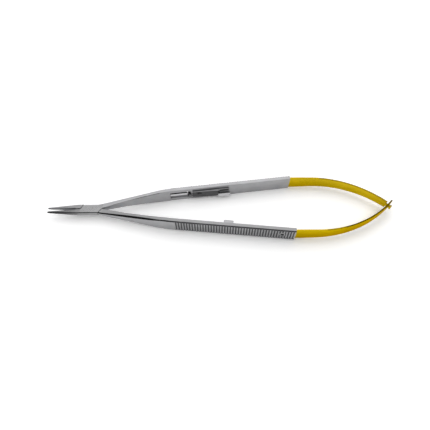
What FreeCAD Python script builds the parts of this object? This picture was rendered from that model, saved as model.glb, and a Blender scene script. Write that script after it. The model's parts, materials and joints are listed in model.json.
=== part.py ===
import FreeCAD, Part
import math
import os
import Sketcher

# Locking micro needle holder, lying on the narrow edges of its two arms.
# X runs along the instrument with the jaws at -X, +Y towards the arm that
# carries the lock lever, Z up.  The origin is on the resting plane, under
# the middle of the instrument; each sub-part is drawn about the box-lock pin
# and then placed.

V = FreeCAD.Vector
doc = FreeCAD.newDocument("needle_holder")
dims = doc.addObject("Spreadsheet::Sheet", "dims")

SIZES = [
    # reach either side of the joint pin
    ("tip_reach", 17.8, "jaw tip to joint pin, along X"),
    ("plate_end", 81.0, "joint pin to the rear end of an arm"),
    ("spring_long", 40.8, "rear end of an arm to the end of the springs, along X"),
    # arms
    ("arm_height", 6.8, "height of an arm's plate, resting edge to top edge"),
    ("arm_thick", 1.7, "thickness of an arm"),
    ("shank_angle", 11.9, "lean of the shank away from the axis, degrees"),
    ("plate_angle", 6.25, "lean of the plate away from the axis, degrees"),
    ("bend_x", 29.0, "corner between shank and plate, from the pin"),
    ("bend_y", 7.63, "outer face at that corner, from the axis"),
    ("bend_run", 7.1, "tangent length of the bend"),
    ("crotch_run", 14.0, "pin to where the shank reaches its own thickness"),
    ("flare_end", 30.0, "pin to where an arm reaches its full height"),
    ("edge_chamfer", 0.42, "chamfer along a shank's outer edges"),
    # box lock
    ("block_half", 2.05, "half width of the box lock"),
    ("lock_height", 2.2, "height of the box lock"),
    ("shoulder_run", 4.5, "pin to a shoulder, measured on the axis"),
    ("front_lean", 27.0, "lean of the front shoulders from square, degrees"),
    ("rear_lean", 38.0, "lean of the rear shoulders from square, degrees"),
    ("shoulder_gap", 0.25, "opening at a shoulder, along X"),
    ("crotch_half", 0.21, "half of the opening between the arms at the lock"),
    ("tongue_half", 1.04, "half width of the tongue"),
    ("tongue_angle", 16.8, "lean of the tongue across the lock, degrees"),
    ("tongue_high", 0.8, "thickness of the tongue"),
    ("slide_gap", 0.05, "play between tongue and cheeks on each face"),
    ("side_gap", 0.06, "play beside the tongue"),
    ("opening", 4.26, "angle between the jaws at rest, degrees"),
    ("pin_radius", 0.6, "radius of the joint pin"),
    ("pin_play", 0.05, "running clearance round the pin in the tongue"),
    # jaws
    ("jaw_half_gap", 0.025, "half of the gap between the inserts when closed"),
    ("tip_width", 0.52, "width of a jaw at its tip"),
    ("tip_high", 0.72, "height of a jaw at its tip"),
    ("jaw_root", 5.6, "pin to where a jaw starts to narrow"),
    ("jaw_chamfer", 0.22, "chamfer along a jaw's outer edges"),
    ("insert_thick", 0.24, "thickness of a jaw insert"),
    ("insert_root", 6.4, "pin to the rear end of an insert"),
    # serrations
    ("rib_count", 44, "serrations on each arm"),
    ("rib_pitch", 1.07, "pitch of the serrations"),
    ("rib_first", 0.82, "rear end of an arm to the first serration"),
    ("rib_wide", 0.62, "width of a serration at the face"),
    ("rib_floor", 0.26, "width of a serration at its floor"),
    ("rib_deep", 0.3, "depth of a serration"),
    # leaf springs
    ("leaf_thick", 0.6, "thickness of a leaf spring"),
    ("leaf_depth", 1.03, "outer face of a plate to the middle of its spring"),
    ("leaf_radius", 44.0, "radius of a spring's arc, at mid thickness"),
    ("leaf_height", 6.1, "height of a leaf spring where it leaves the arm"),
    ("leaf_tip_high", 3.7, "height of a leaf spring at its far end"),
    ("tang_long", 7.5, "length of a spring's tang inside its arm"),
    ("taper_run", 3.0, "rear end of an arm to where the springs start to taper"),
    # ends of the springs, measured back from the end of the longer one
    ("cross_back", 1.7, "to where the springs cross"),
    ("shoulder_back", 2.9, "to the upper spring's shoulders"),
    ("head_back", 1.2, "to the near side of the upper spring's T head"),
    ("head_end", 0.5, "to the end of the T head"),
    ("neck_high", 1.5, "height of the tongue of the upper spring"),
    ("head_high", 2.4, "height of the T head"),
    ("slot_start", 2.9, "to the near end of the lower spring's slot"),
    ("slot_end", 0.5, "to the far end of that slot"),
    ("slot_high", 1.9, "height of the slot"),
    # spring rivets
    ("rivet_run", 5.1, "rear end of an arm to its spring rivet"),
    ("rivet_radius", 0.6, "radius of a spring rivet's shank"),
    ("head_radius", 1.15, "radius of a spring rivet's head"),
    ("head_seat", 0.36, "depth of the seat of that head"),
    ("head_sunk", 0.14, "depth of the head below the arm's face"),
    # lock window
    ("window_start", 31.6, "pin to the front end of the lock window"),
    ("window_end", 40.0, "pin to the rear end of the lock window"),
    ("window_high", 3.6, "height of the lock window"),
    # return spring of the lock
    ("bar_start", 32.4, "pin to where the return spring leaves its seat"),
    ("bar_end", 38.6, "pin to the free end of the return spring"),
    ("bar_seat", 1.8, "length of the return spring inside the arm"),
    ("bar_high", 1.6, "height of the return spring"),
    ("bar_thick", 0.6, "thickness of the return spring"),
    ("bar_depth", 0.2, "return spring below the arm's inner face"),
    # lock lever, measured back from the rear end of the arm
    ("lever_front", 40.7, "front end of the lever's blade"),
    ("lever_rear", 29.5, "rear end of the blade"),
    ("lever_high", 3.7, "height of the blade"),
    ("lever_play", 0.06, "play between lever and arm"),
    ("blade_front_thick", 0.5, "thickness of the blade at its front end"),
    ("blade_rear_thick", 0.86, "thickness of the blade at its rear end"),
    ("tab_lap", 0.6, "lap of the hook and of the tail on the blade"),
    ("tab_rear", 25.2, "rear end of the hook"),
    ("tab_low", 1.6, "lower edge of the hook"),
    ("tab_top", 3.8, "upper edge of the hook's lip"),
    ("tab_out", 1.75, "reach of the hook from the arm's inner face"),
    ("tab_thick", 0.5, "thickness of the hook"),
    ("tail_rear", 25.6, "rear end of the blade's tail"),
    ("tail_low", 4.2, "lower edge of the tail"),
    ("tail_thick", 0.5, "thickness of the tail"),
    ("heel_front", 42.3, "front end of the lever's heel"),
    ("heel_gap", 0.5, "window's rear wall to the heel, along the plate"),
    ("heel_low", 2.1, "lower edge of the heel"),
    ("heel_top", 3.2, "upper edge of the heel"),
    ("heel_in", 0.75, "reach of the heel into the window"),
    ("swing_run", 37.9, "rear end of the arm to the lever's rivet"),
    ("swing_radius", 0.55, "radius of the lever's rivet"),
    ("swing_head", 0.95, "radius of that rivet's head"),
    ("swing_head_thick", 0.3, "thickness of that rivet's head"),
    # catch on the other arm, measured back from the rear end of the arm
    ("catch_front", 28.3, "front end of the catch"),
    ("catch_rear", 24.4, "rear end of the catch"),
    ("catch_low", 3.0, "lower edge of the catch's lip"),
    ("catch_step", 3.95, "lower edge of the catch's post"),
    ("catch_top", 4.8, "upper edge of the catch"),
    ("catch_out", 2.4, "reach of the catch from the arm's inner face"),
    ("lip_thick", 0.8, "thickness of the catch's lip"),
    ("tenon_in", 0.8, "depth of the catch's tenon"),
    ("tenon_long", 2.6, "length of that tenon"),
]
for row, (alias, value, note) in enumerate(SIZES, start=1):
    dims.set("A%d" % row, note)
    dims.set("B%d" % row, str(value))
    dims.setAlias("B%d" % row, alias)
doc.recompute()

TALL = "dims.arm_height"
MID = "(dims.arm_height / 2)"
PIN_X = "((dims.tip_reach - dims.plate_end - dims.spring_long) / 2)"
# the outer corner at the rear end of an arm, and the directions of its plate
END_X = "dims.plate_end"
END_Y = "(dims.bend_y + (dims.plate_end - dims.bend_x) * tan(dims.plate_angle))"
PC, PS = "cos(dims.plate_angle)", "sin(dims.plate_angle)"
SC, SS = "cos(dims.shank_angle)", "sin(dims.shank_angle)"


def value(text):
    """Value of an expression about the driving sizes."""
    got = dims.evalExpression(text)
    return float(getattr(got, "Value", got))


def bind(thing, name, text):
    thing.setExpression(name, text)


def plane(body, role):
    return [f for f in body.Origin.OriginFeatures if f.Role == role][0]


def draw(sketch, corners, arcs=None, start=0):
    """Closed outline whose corners, and the radii of whose bends, are bound
    to the sheet.  arcs maps the index of a side to its radius, positive
    where the side bulges to the right of its direction."""
    arcs = arcs or {}
    pts = [V(value(x), value(y), 0) for x, y in corners]
    count = len(pts)
    ends = []
    for i in range(count):
        a, b = pts[i], pts[(i + 1) % count]
        if i in arcs:
            radius = value(arcs[i])
            chord = b - a
            sag = abs(radius) - math.sqrt(radius ** 2 - (chord.Length / 2) ** 2)
            side = V(chord.y, -chord.x, 0).normalize()
            mid = (a + b) * 0.5 + side * math.copysign(sag, radius)
            curve = Part.Arc(a, mid, b).toShape().Curve
            first = math.atan2(a.y - curve.Center.y, a.x - curve.Center.x)
            last = math.atan2(b.y - curve.Center.y, b.x - curve.Center.x)
            flip = math.sin(last - first) < 0
            circle = Part.Circle(curve.Center, V(0, 0, 1), abs(radius))
            if flip:
                first, last = last, first
            sketch.addGeometry(Part.ArcOfCircle(circle, first, last), False)
            ends.append((2, 1) if flip else (1, 2))
        else:
            sketch.addGeometry(Part.LineSegment(a, b), False)
            ends.append((1, 2))
    for i in range(count):
        n = (i + 1) % count
        gi, gn = start + i, start + n
        sketch.addConstraint(
            Sketcher.Constraint("Coincident", gi, ends[i][1], gn, ends[n][0]))
    for i, (x, y) in enumerate(corners):
        for kind, text, coord in (("DistanceX", x, pts[i].x), ("DistanceY", y, pts[i].y)):
            tag = "%s%d" % (kind[-1].lower(), start + i)
            n = sketch.addConstraint(
                Sketcher.Constraint(kind, -1, 1, start + i, ends[i][0], coord))
            sketch.renameConstraint(n, tag)
            sketch.setExpression("Constraints." + tag, text)
    for i, radius in arcs.items():
        n = sketch.addConstraint(
            Sketcher.Constraint("Radius", start + i, abs(value(radius))))
        sketch.renameConstraint(n, "r%d" % (start + i))
        sketch.setExpression("Constraints.r%d" % (start + i), "abs(%s)" % radius)
    return start + count


def drawing(body, name, role, corners, arcs=None, at=None, turn=None, spin="z"):
    """Sketch on an origin plane of its body, moved and turned by the sheet."""
    sketch = body.newObject("Sketcher::SketchObject", name)
    sketch.AttachmentSupport = (plane(body, role), [""])
    sketch.MapMode = "FlatFace"
    if turn:
        axis = V(0, 1, 0) if spin == "y" else V(0, 0, 1)
        sketch.AttachmentOffset = FreeCAD.Placement(
            V(), FreeCAD.Rotation(axis, value(turn)))
        bind(sketch, "AttachmentOffset.Rotation.Angle", turn)
    for letter, text in zip("xyz", at or ()):
        bind(sketch, "AttachmentOffset.Base." + letter, text)
    draw(sketch, corners, arcs)
    doc.recompute()
    return sketch


def pad(body, name, sketch, length):
    """Thickness grown evenly on both sides of its sketch."""
    feature = body.newObject("PartDesign::Pad", name)
    feature.Profile = sketch
    feature.SideType = "Symmetric"
    bind(feature, "Length", length)
    doc.recompute()
    return feature


def cut(body, name, sketch, length=None):
    """Material taken away evenly on both sides of its sketch."""
    before = body.Tip.Shape.Volume
    feature = body.newObject("PartDesign::Pocket", name)
    feature.Profile = sketch
    feature.SideType = "Symmetric"
    if length:
        bind(feature, "Length", length)
    else:
        feature.Type = "ThroughAll"
    doc.recompute()
    if not feature.Shape.Volume < before - 1e-6:
        raise ValueError("nothing cut by " + name)
    return feature


def circle(body, name, role, radius, x, y, at, turn=None):
    """Round sketch, used for the holes and seats of the pins."""
    sketch = body.newObject("Sketcher::SketchObject", name)
    sketch.AttachmentSupport = (plane(body, role), [""])
    sketch.MapMode = "FlatFace"
    if turn:
        sketch.AttachmentOffset = FreeCAD.Placement(
            V(), FreeCAD.Rotation(V(0, 1, 0), value(turn)))
        bind(sketch, "AttachmentOffset.Rotation.Angle", turn)
    for letter, text in zip("xyz", at):
        bind(sketch, "AttachmentOffset.Base." + letter, text)
    px, py = value(x), value(y)
    sketch.addGeometry(Part.Circle(V(px, py, 0), V(0, 0, 1), value(radius)), False)
    for n, (kind, tag, text, number) in enumerate((
            ("DistanceX", "cx", x, px), ("DistanceY", "cy", y, py))):
        sketch.addConstraint(Sketcher.Constraint(kind, -1, 1, 0, 3, number))
        sketch.renameConstraint(n, tag)
        sketch.setExpression("Constraints." + tag, text)
    sketch.addConstraint(Sketcher.Constraint("Radius", 0, value(radius)))
    sketch.renameConstraint(2, "bore")
    sketch.setExpression("Constraints.bore", radius)
    doc.recompute()
    return sketch


def mirrored(corners):
    """The same outline on the other side of the axis."""
    return [(x, "-(%s)" % y) for x, y in corners]


# Plan of one arm behind the box lock, drawn for the +Y side.
def shoulder(x_sign, y, gap="0"):
    """X of a shoulder line at height y: the front one has x_sign -1."""
    base, lean = ("-", "front_lean") if x_sign < 0 else ("", "rear_lean")
    return "(%sdims.shoulder_run + (%s) * tan(dims.%s) + (%s))" % (base, y, lean, gap)


T1X = "(dims.bend_x - dims.bend_run * %s)" % SC
T1Y = "(dims.bend_y - dims.bend_run * %s)" % SS
T2X = "(dims.bend_x + dims.bend_run * %s)" % PC
T2Y = "(dims.bend_y + dims.bend_run * %s)" % PS
BEND_R = "(dims.bend_run / tan((dims.shank_angle - dims.plate_angle) / 2))"
# the same points on the inner face
N1X = "(%s + dims.arm_thick * %s)" % (T1X, SS)
N1Y = "(%s - dims.arm_thick * %s)" % (T1Y, SC)
N2X = "(%s + dims.arm_thick * %s)" % (T2X, PS)
N2Y = "(%s - dims.arm_thick * %s)" % (T2Y, PC)
EIX = "(%s + dims.arm_thick * %s)" % (END_X, PS)
EIY = "(%s - dims.arm_thick * %s)" % (END_Y, PC)
CROTCH_Y = ("(%s - (%s - dims.crotch_run) * tan(dims.shank_angle))" % (N1Y, N1X))
OUTER = "(dims.bend_y - (dims.bend_x - (%s)) * tan(dims.shank_angle))"
# where the shank's outer face runs into the side of the box lock
ROOT_X = "(dims.bend_x - (dims.bend_y - dims.block_half) / tan(dims.shank_angle))"

# Plan of one jaw, drawn for the -Y side: inner face, tip, outer face.
HALF = "(dims.opening / 2)"
JAW_IN_TIP = "(dims.jaw_half_gap + dims.tip_reach * tan%s)" % HALF
JAW_IN_ROOT = "(dims.jaw_half_gap + dims.shoulder_run * tan%s)" % HALF
TIP_OUT = "(%s + dims.tip_width)" % JAW_IN_TIP


def heights(body, name):
    """Side outline: low box lock, jaws that thin to the tips and shanks that
    flare to the full height of the plates, cut above and below."""
    top = [
        ("-dims.tip_reach - 2", TALL + " + 1"),
        ("-dims.tip_reach - 2",
         MID + " + dims.tip_high / 2 - (dims.lock_height - dims.tip_high)"
         " / (dims.tip_reach - dims.shoulder_run)"),
        ("-dims.shoulder_run", MID + " + dims.lock_height / 2"),
        ("dims.shoulder_run", MID + " + dims.lock_height / 2"),
        ("dims.flare_end", TALL),
        ("dims.flare_end", TALL + " + 1"),
    ]
    for side, corners in (("top", top),
                          ("under", [(x, "%s - (%s)" % (TALL, y)) for x, y in top])):
        cut(body, name + "_" + side, drawing(body, name + "_line_" + side, "XZ_Plane", corners))


def edges_at(shape, test):
    """Names of the edges whose ends and middle all pass the test."""
    names = []
    for n, edge in enumerate(shape.Edges, start=1):
        probe = [v.Point for v in edge.Vertexes]
        probe.append(edge.valueAt((edge.FirstParameter + edge.LastParameter) / 2))
        if len(edge.Vertexes) == 2 and all(test(p) for p in probe):
            names.append("Edge%d" % n)
    return names


def off_outer(p, sign):
    """Distance of a point inside the outer face of an arm."""
    y = sign * p.y
    bend_x, bend_y = value("dims.bend_x"), value("dims.bend_y")
    a1, a2 = (math.radians(value("dims." + k)) for k in ("shank_angle", "plate_angle"))
    if p.x < value(ROOT_X):
        return value("dims.block_half") - y
    if p.x < value(T1X) + 1e-6:
        return (bend_y - (bend_x - p.x) * math.tan(a1) - y) * math.cos(a1)
    if p.x > value(T2X) - 1e-6:
        return (bend_y + (p.x - bend_x) * math.tan(a2) - y) * math.cos(a2)
    r = value(BEND_R)
    cx = value(T1X) + r * math.sin(a1)
    cy = value(T1Y) - r * math.cos(a1)
    return r - math.hypot(p.x - cx, y - cy)


def half_high(x):
    """Half of an arm's height at x: jaw, box lock and flaring shank."""
    lock, run = value("dims.lock_height / 2"), value("dims.shoulder_run")
    if x < -run:
        tip, reach = value("dims.tip_high / 2"), value("dims.tip_reach")
        return lock - (lock - tip) * (x + run) / (run - reach)
    if x < run:
        return lock
    return lock + (value(MID) - lock) * (x - run) / (value("dims.flare_end") - run)


def chamfer_along(body, name, size, beside):
    """Chamfer of the top and bottom edges that lie beside the outer face."""
    def on_edge(p):
        return beside(p) and abs(abs(p.z - value(MID)) - half_high(p.x)) < 1e-4

    base = body.Tip
    chamfer = body.newObject("PartDesign::Chamfer", name)
    chamfer.Base = (base, edges_at(base.Shape, on_edge))
    bind(chamfer, "Size", size)
    doc.recompute()


def shank_chamfer(body, name, sign, start):
    """Chamfer of the two outer edges of a shank, up to the serrations."""
    flare = value("dims.flare_end")
    chamfer_along(body, name, "dims.edge_chamfer",
                  lambda p: start - 1e-4 < p.x < flare + 1e-4 and abs(off_outer(p, sign)) < 1e-4)


def jaw_chamfer(body, name, sign, rear):
    """Chamfer of the two outer edges of a jaw, as far back as rear."""
    tip, root = value("dims.tip_reach"), value("dims.jaw_root")
    side, narrow = value("dims.block_half"), value(TIP_OUT)

    def beside(p):
        lean = max(0, -root - p.x) / (tip - root)
        return p.x < rear + 1e-4 and abs(sign * p.y - side + (side - narrow) * lean) < 1e-4

    chamfer_along(body, name, "dims.jaw_chamfer", beside)


def ribs(body, name, sign):
    """Serrations across the outer face of an arm, spaced from its rear end."""
    s = "" if sign > 0 else "-"
    corners = [
        ("-dims.rib_first - dims.rib_wide / 2 - 0.1", s + "0.12"),
        ("-dims.rib_first - dims.rib_wide / 2", "0"),
        ("-dims.rib_first - dims.rib_floor / 2", ("-" if sign > 0 else "") + "dims.rib_deep"),
        ("-dims.rib_first + dims.rib_floor / 2", ("-" if sign > 0 else "") + "dims.rib_deep"),
        ("-dims.rib_first + dims.rib_wide / 2", "0"),
        ("-dims.rib_first + dims.rib_wide / 2 + 0.1", s + "0.12"),
    ]
    sketch = drawing(body, name + "_line", "XY_Plane", corners,
                     at=(END_X, s + END_Y), turn=s + "dims.plate_angle")
    groove = cut(body, name + "_cut", sketch)
    rows = body.newObject("PartDesign::LinearPattern", name)
    rows.Originals = [groove]
    rows.Direction = (sketch, ["H_Axis"])
    rows.Reversed = True
    bind(rows, "Length", "dims.rib_pitch * (dims.rib_count - 1)")
    bind(rows, "Occurrences", "dims.rib_count")
    body.Tip = rows
    doc.recompute()
    return rows


def face_at(sign, depth="0"):
    """Origin of a sketch on the plate of an arm, depth below its outer face."""
    x = "%s + (%s) * %s" % (END_X, depth, PS)
    y = "(%s - (%s) * %s)" % (END_Y, depth, PC)
    return (x, "0", ("-" if sign > 0 else "") + y)


def rear_end(body, name, sign):
    """Closed slot for the tang of the leaf spring, its cross hole and the
    seat of the rivet's head in the serrated face."""
    s = "" if sign > 0 else "-"
    o = "-" if sign > 0 else ""
    near = o + "(dims.leaf_depth - dims.leaf_thick / 2)"
    far = o + "(dims.leaf_depth + dims.leaf_thick / 2)"
    slot = drawing(body, name + "_slot_line", "XY_Plane",
                   [("-dims.tang_long", near), ("1", near), ("1", far),
                    ("-dims.tang_long", far)],
                   at=(END_X, s + END_Y, MID), turn=s + "dims.plate_angle")
    cut(body, name + "_slot", slot, "dims.leaf_height")
    turn = s + "dims.plate_angle"
    hole = circle(body, name + "_hole_line", "XZ_Plane", "dims.rivet_radius",
                  "-dims.rivet_run", MID, face_at(sign), turn)
    cut(body, name + "_hole", hole, "2 * dims.arm_thick + 0.5")
    seat = circle(body, name + "_seat_line", "XZ_Plane", "dims.head_radius",
                  "-dims.rivet_run", MID, face_at(sign), turn)
    cut(body, name + "_seat", seat, "2 * dims.head_seat")


def across_plate(sign, roll):
    """Direction of a pin through the plate of an arm: its own Z, rolled about
    X and then leaned with the plate."""
    lean = FreeCAD.Rotation(V(0, 0, 1), sign * value("dims.plate_angle"))
    return lean.multiply(FreeCAD.Rotation(V(1, 0, 0), roll))


def set_in_place(body, label, x=PIN_X, y="0", z="0", turn=None):
    body.Label = label
    if turn:
        body.Placement = FreeCAD.Placement(V(), FreeCAD.Rotation(V(0, 0, 1), value(turn)))
        bind(body, "Placement.Rotation.Angle", turn)
    bind(body, "Placement.Base.x", x)
    bind(body, "Placement.Base.y", y)
    bind(body, "Placement.Base.z", z)
    doc.recompute()
    return body


# ---- near arm: tongue of the box lock, upper jaw, shank and plate at -Y ----
lower = doc.addObject("PartDesign::Body", "lower_arm")
tongue = drawing(lower, "tongue_line", "XY_Plane",
                 [("-dims.shoulder_run - 0.1", "-dims.tongue_half"),
                  ("dims.shoulder_run + 0.1", "-dims.tongue_half"),
                  ("dims.shoulder_run + 0.1", "dims.tongue_half"),
                  ("-dims.shoulder_run - 0.1", "dims.tongue_half")],
                 at=("0", "0", MID), turn="-dims.tongue_angle")
pad(lower, "tongue", tongue, "dims.tongue_high")
lower_root = "(-(%s))" % (OUTER % shoulder(1, "-dims.block_half"))
arm_plan = [
    (shoulder(1, lower_root), lower_root),
    (T1X, "-" + T1Y), (T2X, "-" + T2Y), (END_X, "-" + END_Y),
    (EIX, "-" + EIY), (N2X, "-" + N2Y), (N1X, "-" + N1Y),
    ("dims.crotch_run", "-" + CROTCH_Y),
    (shoulder(1, "-dims.crotch_half"), "-dims.crotch_half"),
]
arm = drawing(lower, "arm_line", "XY_Plane", arm_plan,
              {1: BEND_R, 5: "(dims.arm_thick - %s)" % BEND_R},
              at=("0", "0", MID))
pad(lower, "arm", arm, TALL)
jaw_plan = [
    ("-dims.tip_reach", JAW_IN_TIP),
    (shoulder(-1, JAW_IN_ROOT), JAW_IN_ROOT),
    (shoulder(-1, "dims.block_half"), "dims.block_half"),
    ("-dims.jaw_root", "dims.block_half"),
    ("-dims.tip_reach", TIP_OUT),
]
jaw = drawing(lower, "jaw_line", "XY_Plane", jaw_plan, at=("0", "0", MID))
pad(lower, "jaw", jaw, TALL)
heights(lower, "lower_heights")
shank_chamfer(lower, "lower_chamfer", -1, value(shoulder(1, lower_root)))
jaw_chamfer(lower, "upper_jaw_chamfer", 1, value(shoulder(-1, "dims.block_half")))
pin_hole = circle(lower, "pin_hole_line", "XY_Plane", "dims.pin_radius + dims.pin_play",
                  "0", "0", ("0", "0", MID))
cut(lower, "pin_hole", pin_hole, "dims.lock_height")
ribs(lower, "lower_ribs", -1)
rear_end(lower, "lower_end", -1)
mortise = drawing(lower, "mortise_line", "XZ_Plane",
                  [("-(dims.catch_front + dims.catch_rear) / 2 - dims.tenon_long / 2",
                    "dims.catch_step"),
                   ("-(dims.catch_front + dims.catch_rear) / 2 + dims.tenon_long / 2",
                    "dims.catch_step"),
                   ("-(dims.catch_front + dims.catch_rear) / 2 + dims.tenon_long / 2",
                    "dims.catch_top"),
                   ("-(dims.catch_front + dims.catch_rear) / 2 - dims.tenon_long / 2",
                    "dims.catch_top")],
                  at=face_at(-1, "dims.arm_thick"), turn="-dims.plate_angle", spin="y")
cut(lower, "mortise", mortise, "2 * dims.tenon_in")


def jaw_seat(body, name, sign):
    """Step along a jaw's inner face that its insert fills."""
    s = "" if sign > 0 else "-"
    deep = "dims.insert_thick"
    corners = [
        ("-dims.tip_reach - 1", s + "(%s - 0.4)" % JAW_IN_TIP),
        ("-dims.insert_root", s + "(%s - 0.4)" % JAW_IN_ROOT),
        ("-dims.insert_root", s + "(dims.jaw_half_gap + dims.insert_root * tan%s + %s)"
         % (HALF, deep)),
        ("-dims.tip_reach - 1", s + "(dims.jaw_half_gap + (dims.tip_reach + 1) * tan%s + %s)"
         % (HALF, deep)),
    ]
    sketch = drawing(body, name + "_line", "XY_Plane", corners, at=("0", "0", MID))
    return cut(body, name, sketch, TALL)


jaw_seat(lower, "upper_jaw_seat", 1)
set_in_place(lower, "lower_arm")

# ---- far arm: cheeks of the box lock, lower jaw, shank and plate at +Y ----
upper = doc.addObject("PartDesign::Body", "upper_arm")
box_plan = [
    ("-dims.tip_reach", "-" + JAW_IN_TIP),
    ("-dims.tip_reach", "-" + TIP_OUT),
    ("-dims.jaw_root", "-dims.block_half"),
    (shoulder(1, "-dims.block_half", "-dims.shoulder_gap"), "-dims.block_half"),
    (shoulder(1, "dims.crotch_half", "-dims.shoulder_gap"), "dims.crotch_half"),
    ("dims.crotch_run", CROTCH_Y),
    (N1X, N1Y), (N2X, N2Y), (EIX, EIY),
    (END_X, END_Y), (T2X, T2Y), (T1X, T1Y),
    (ROOT_X, "dims.block_half"),
    (shoulder(-1, "dims.block_half", "dims.shoulder_gap"), "dims.block_half"),
    (shoulder(-1, "-" + JAW_IN_ROOT, "dims.shoulder_gap"), "-" + JAW_IN_ROOT),
]
box = drawing(upper, "box_line", "XY_Plane", box_plan,
              {6: "(dims.arm_thick - %s)" % BEND_R, 10: BEND_R}, at=("0", "0", MID))
pad(upper, "box", box, TALL)
heights(upper, "upper_heights")
shank_chamfer(upper, "upper_chamfer", 1,
              value(shoulder(-1, "dims.block_half", "dims.shoulder_gap")))
jaw_chamfer(upper, "lower_jaw_chamfer", -1,
            value(shoulder(1, "-dims.block_half", "-dims.shoulder_gap")))
for tag, angle in (("open", "-dims.tongue_angle"),
                   ("closed", "-dims.tongue_angle + dims.opening + 0.1")):
    way = "dims.tongue_half + dims.side_gap"
    strip = drawing(upper, "way_line_" + tag, "XY_Plane",
                    [("-dims.shoulder_run - 2.5", "-(%s)" % way),
                     ("dims.shoulder_run + 2.5", "-(%s)" % way),
                     ("dims.shoulder_run + 2.5", way),
                     ("-dims.shoulder_run - 2.5", way)],
                    at=("0", "0", MID), turn=angle)
    cut(upper, "way_" + tag, strip, "dims.tongue_high + 2 * dims.slide_gap")
pin_bore = circle(upper, "pin_bore_line", "XY_Plane", "dims.pin_radius",
                  "0", "0", ("0", "0", MID))
cut(upper, "pin_bore", pin_bore, "dims.arm_height")
ribs(upper, "upper_ribs", 1)
rear_end(upper, "upper_end", 1)
window = drawing(upper, "window_line", "XZ_Plane",
                 [("dims.window_start", MID + " - dims.window_high / 2"),
                  ("dims.window_end", MID + " - dims.window_high / 2"),
                  ("dims.window_end", MID + " + dims.window_high / 2"),
                  ("dims.window_start", MID + " + dims.window_high / 2")])
cut(upper, "window", window)
# seat of the lock's return spring in the front wall of the window
BAR_BACK = "(-(dims.plate_end - dims.bar_start) / %s - dims.bar_seat)" % PC
BAR_NEAR = "-(dims.arm_thick - dims.bar_depth - dims.bar_thick)"
BAR_FAR = "-(dims.arm_thick - dims.bar_depth)"
seat = drawing(upper, "bar_seat_line", "XY_Plane",
               [(BAR_BACK, BAR_FAR), ("-(dims.plate_end - dims.bar_start) / %s" % PC, BAR_FAR),
                ("-(dims.plate_end - dims.bar_start) / %s" % PC, BAR_NEAR),
                (BAR_BACK, BAR_NEAR)],
               at=(END_X, END_Y, MID), turn="dims.plate_angle")
cut(upper, "bar_seat", seat, "dims.bar_high")
swing_hole = circle(upper, "swing_hole_line", "XZ_Plane", "dims.swing_radius",
                    "-dims.swing_run", MID, face_at(1), "dims.plate_angle")
cut(upper, "swing_hole", swing_hole, "2 * dims.arm_thick + 0.5")
jaw_seat(upper, "lower_jaw_seat", -1)
set_in_place(upper, "upper_arm")

# ---- pin of the box lock, ground flush ----
pin = doc.addObject("Part::Cylinder", "joint_pin")
bind(pin, "Radius", "dims.pin_radius")
bind(pin, "Height", "dims.lock_height")
set_in_place(pin, "joint_pin", z=MID + " - dims.lock_height / 2")


# ---- carbide inserts that line the jaws ----
def insert(label, sign):
    body = doc.addObject("PartDesign::Body", label)
    s = "" if sign > 0 else "-"
    root_in = "(dims.jaw_half_gap + dims.insert_root * tan%s)" % HALF
    sketch = drawing(body, label + "_line", "XY_Plane",
                     [("-dims.tip_reach", s + JAW_IN_TIP),
                      ("-dims.insert_root", s + root_in),
                      ("-dims.insert_root", s + "(%s + dims.insert_thick)" % root_in),
                      ("-dims.tip_reach", s + "(%s + dims.insert_thick)" % JAW_IN_TIP)],
                     at=("0", "0", MID))
    pad(body, label + "_pad", sketch, "dims.lock_height")
    heights(body, label + "_heights")
    return set_in_place(body, label)


insert("upper_jaw_insert", 1)
insert("lower_jaw_insert", -1)

# ---- leaf springs: straight behind the plates, then arcs that cross ----
REACH = "(dims.plate_end + dims.spring_long)"
# middle of a spring where it leaves its plate, and where its arc starts
LEAF_X = "(%s + dims.leaf_depth * %s)" % (END_X, PS)
LEAF_Y = "(%s - dims.leaf_depth * %s)" % (END_Y, PC)
ARC_X = "(%s - dims.cross_back - sqrt(%s * (2 * dims.leaf_radius - %s)))" % (REACH, LEAF_Y, LEAF_Y)


def leaf(label, sign, end, side_cuts):
    """Tang in the plate of the arm, a straight run and an arc as far as end."""
    body = doc.addObject("PartDesign::Body", label)
    outer, inner = ("(dims.leaf_radius %s dims.leaf_thick / 2)" % edge for edge in "+-")
    share = "((%s - %s) / %s)" % (end, ARC_X, outer)
    level = "(%s - dims.leaf_radius)" % LEAF_Y
    corners = []
    for edge, radius in (("+", outer), ("-", inner)):
        side = "%s dims.leaf_thick / 2" % edge
        corners.append([
            ("%s - dims.tang_long * %s - (0 %s) * %s" % (LEAF_X, PC, side, PS),
             "(%s - dims.tang_long * %s + (0 %s) * %s)" % (LEAF_Y, PS, side, PC)),
            ("%s - (0 %s) * tan(dims.plate_angle / 2)" % (LEAF_X, side),
             "(%s %s)" % (LEAF_Y, side)),
            (ARC_X, "(%s %s)" % (LEAF_Y, side)),
            ("%s + %s * %s" % (ARC_X, radius, share),
             "(%s + %s * sqrt(1 - %s * %s))" % (level, radius, share, share)),
        ])
    plan = corners[0] + corners[1][::-1]
    line = drawing(body, label + "_line", "XY_Plane", plan if sign > 0 else mirrored(plan),
                   {2: ("-" if sign > 0 else "") + outer, 4: ("" if sign > 0 else "-") + inner},
                   at=("0", "0", MID))
    pad(body, label + "_strip", line, "dims.leaf_height")
    hole = circle(body, label + "_hole_line", "XZ_Plane", "dims.rivet_radius", "-dims.rivet_run",
                  MID, face_at(sign), ("" if sign > 0 else "-") + "dims.plate_angle")
    cut(body, label + "_hole", hole, "2 * dims.arm_thick + 0.5")
    for name, outline in side_cuts:
        cut(body, label + "_" + name,
            drawing(body, label + "_" + name + "_line", "XZ_Plane", outline))
    return set_in_place(body, label)


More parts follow.
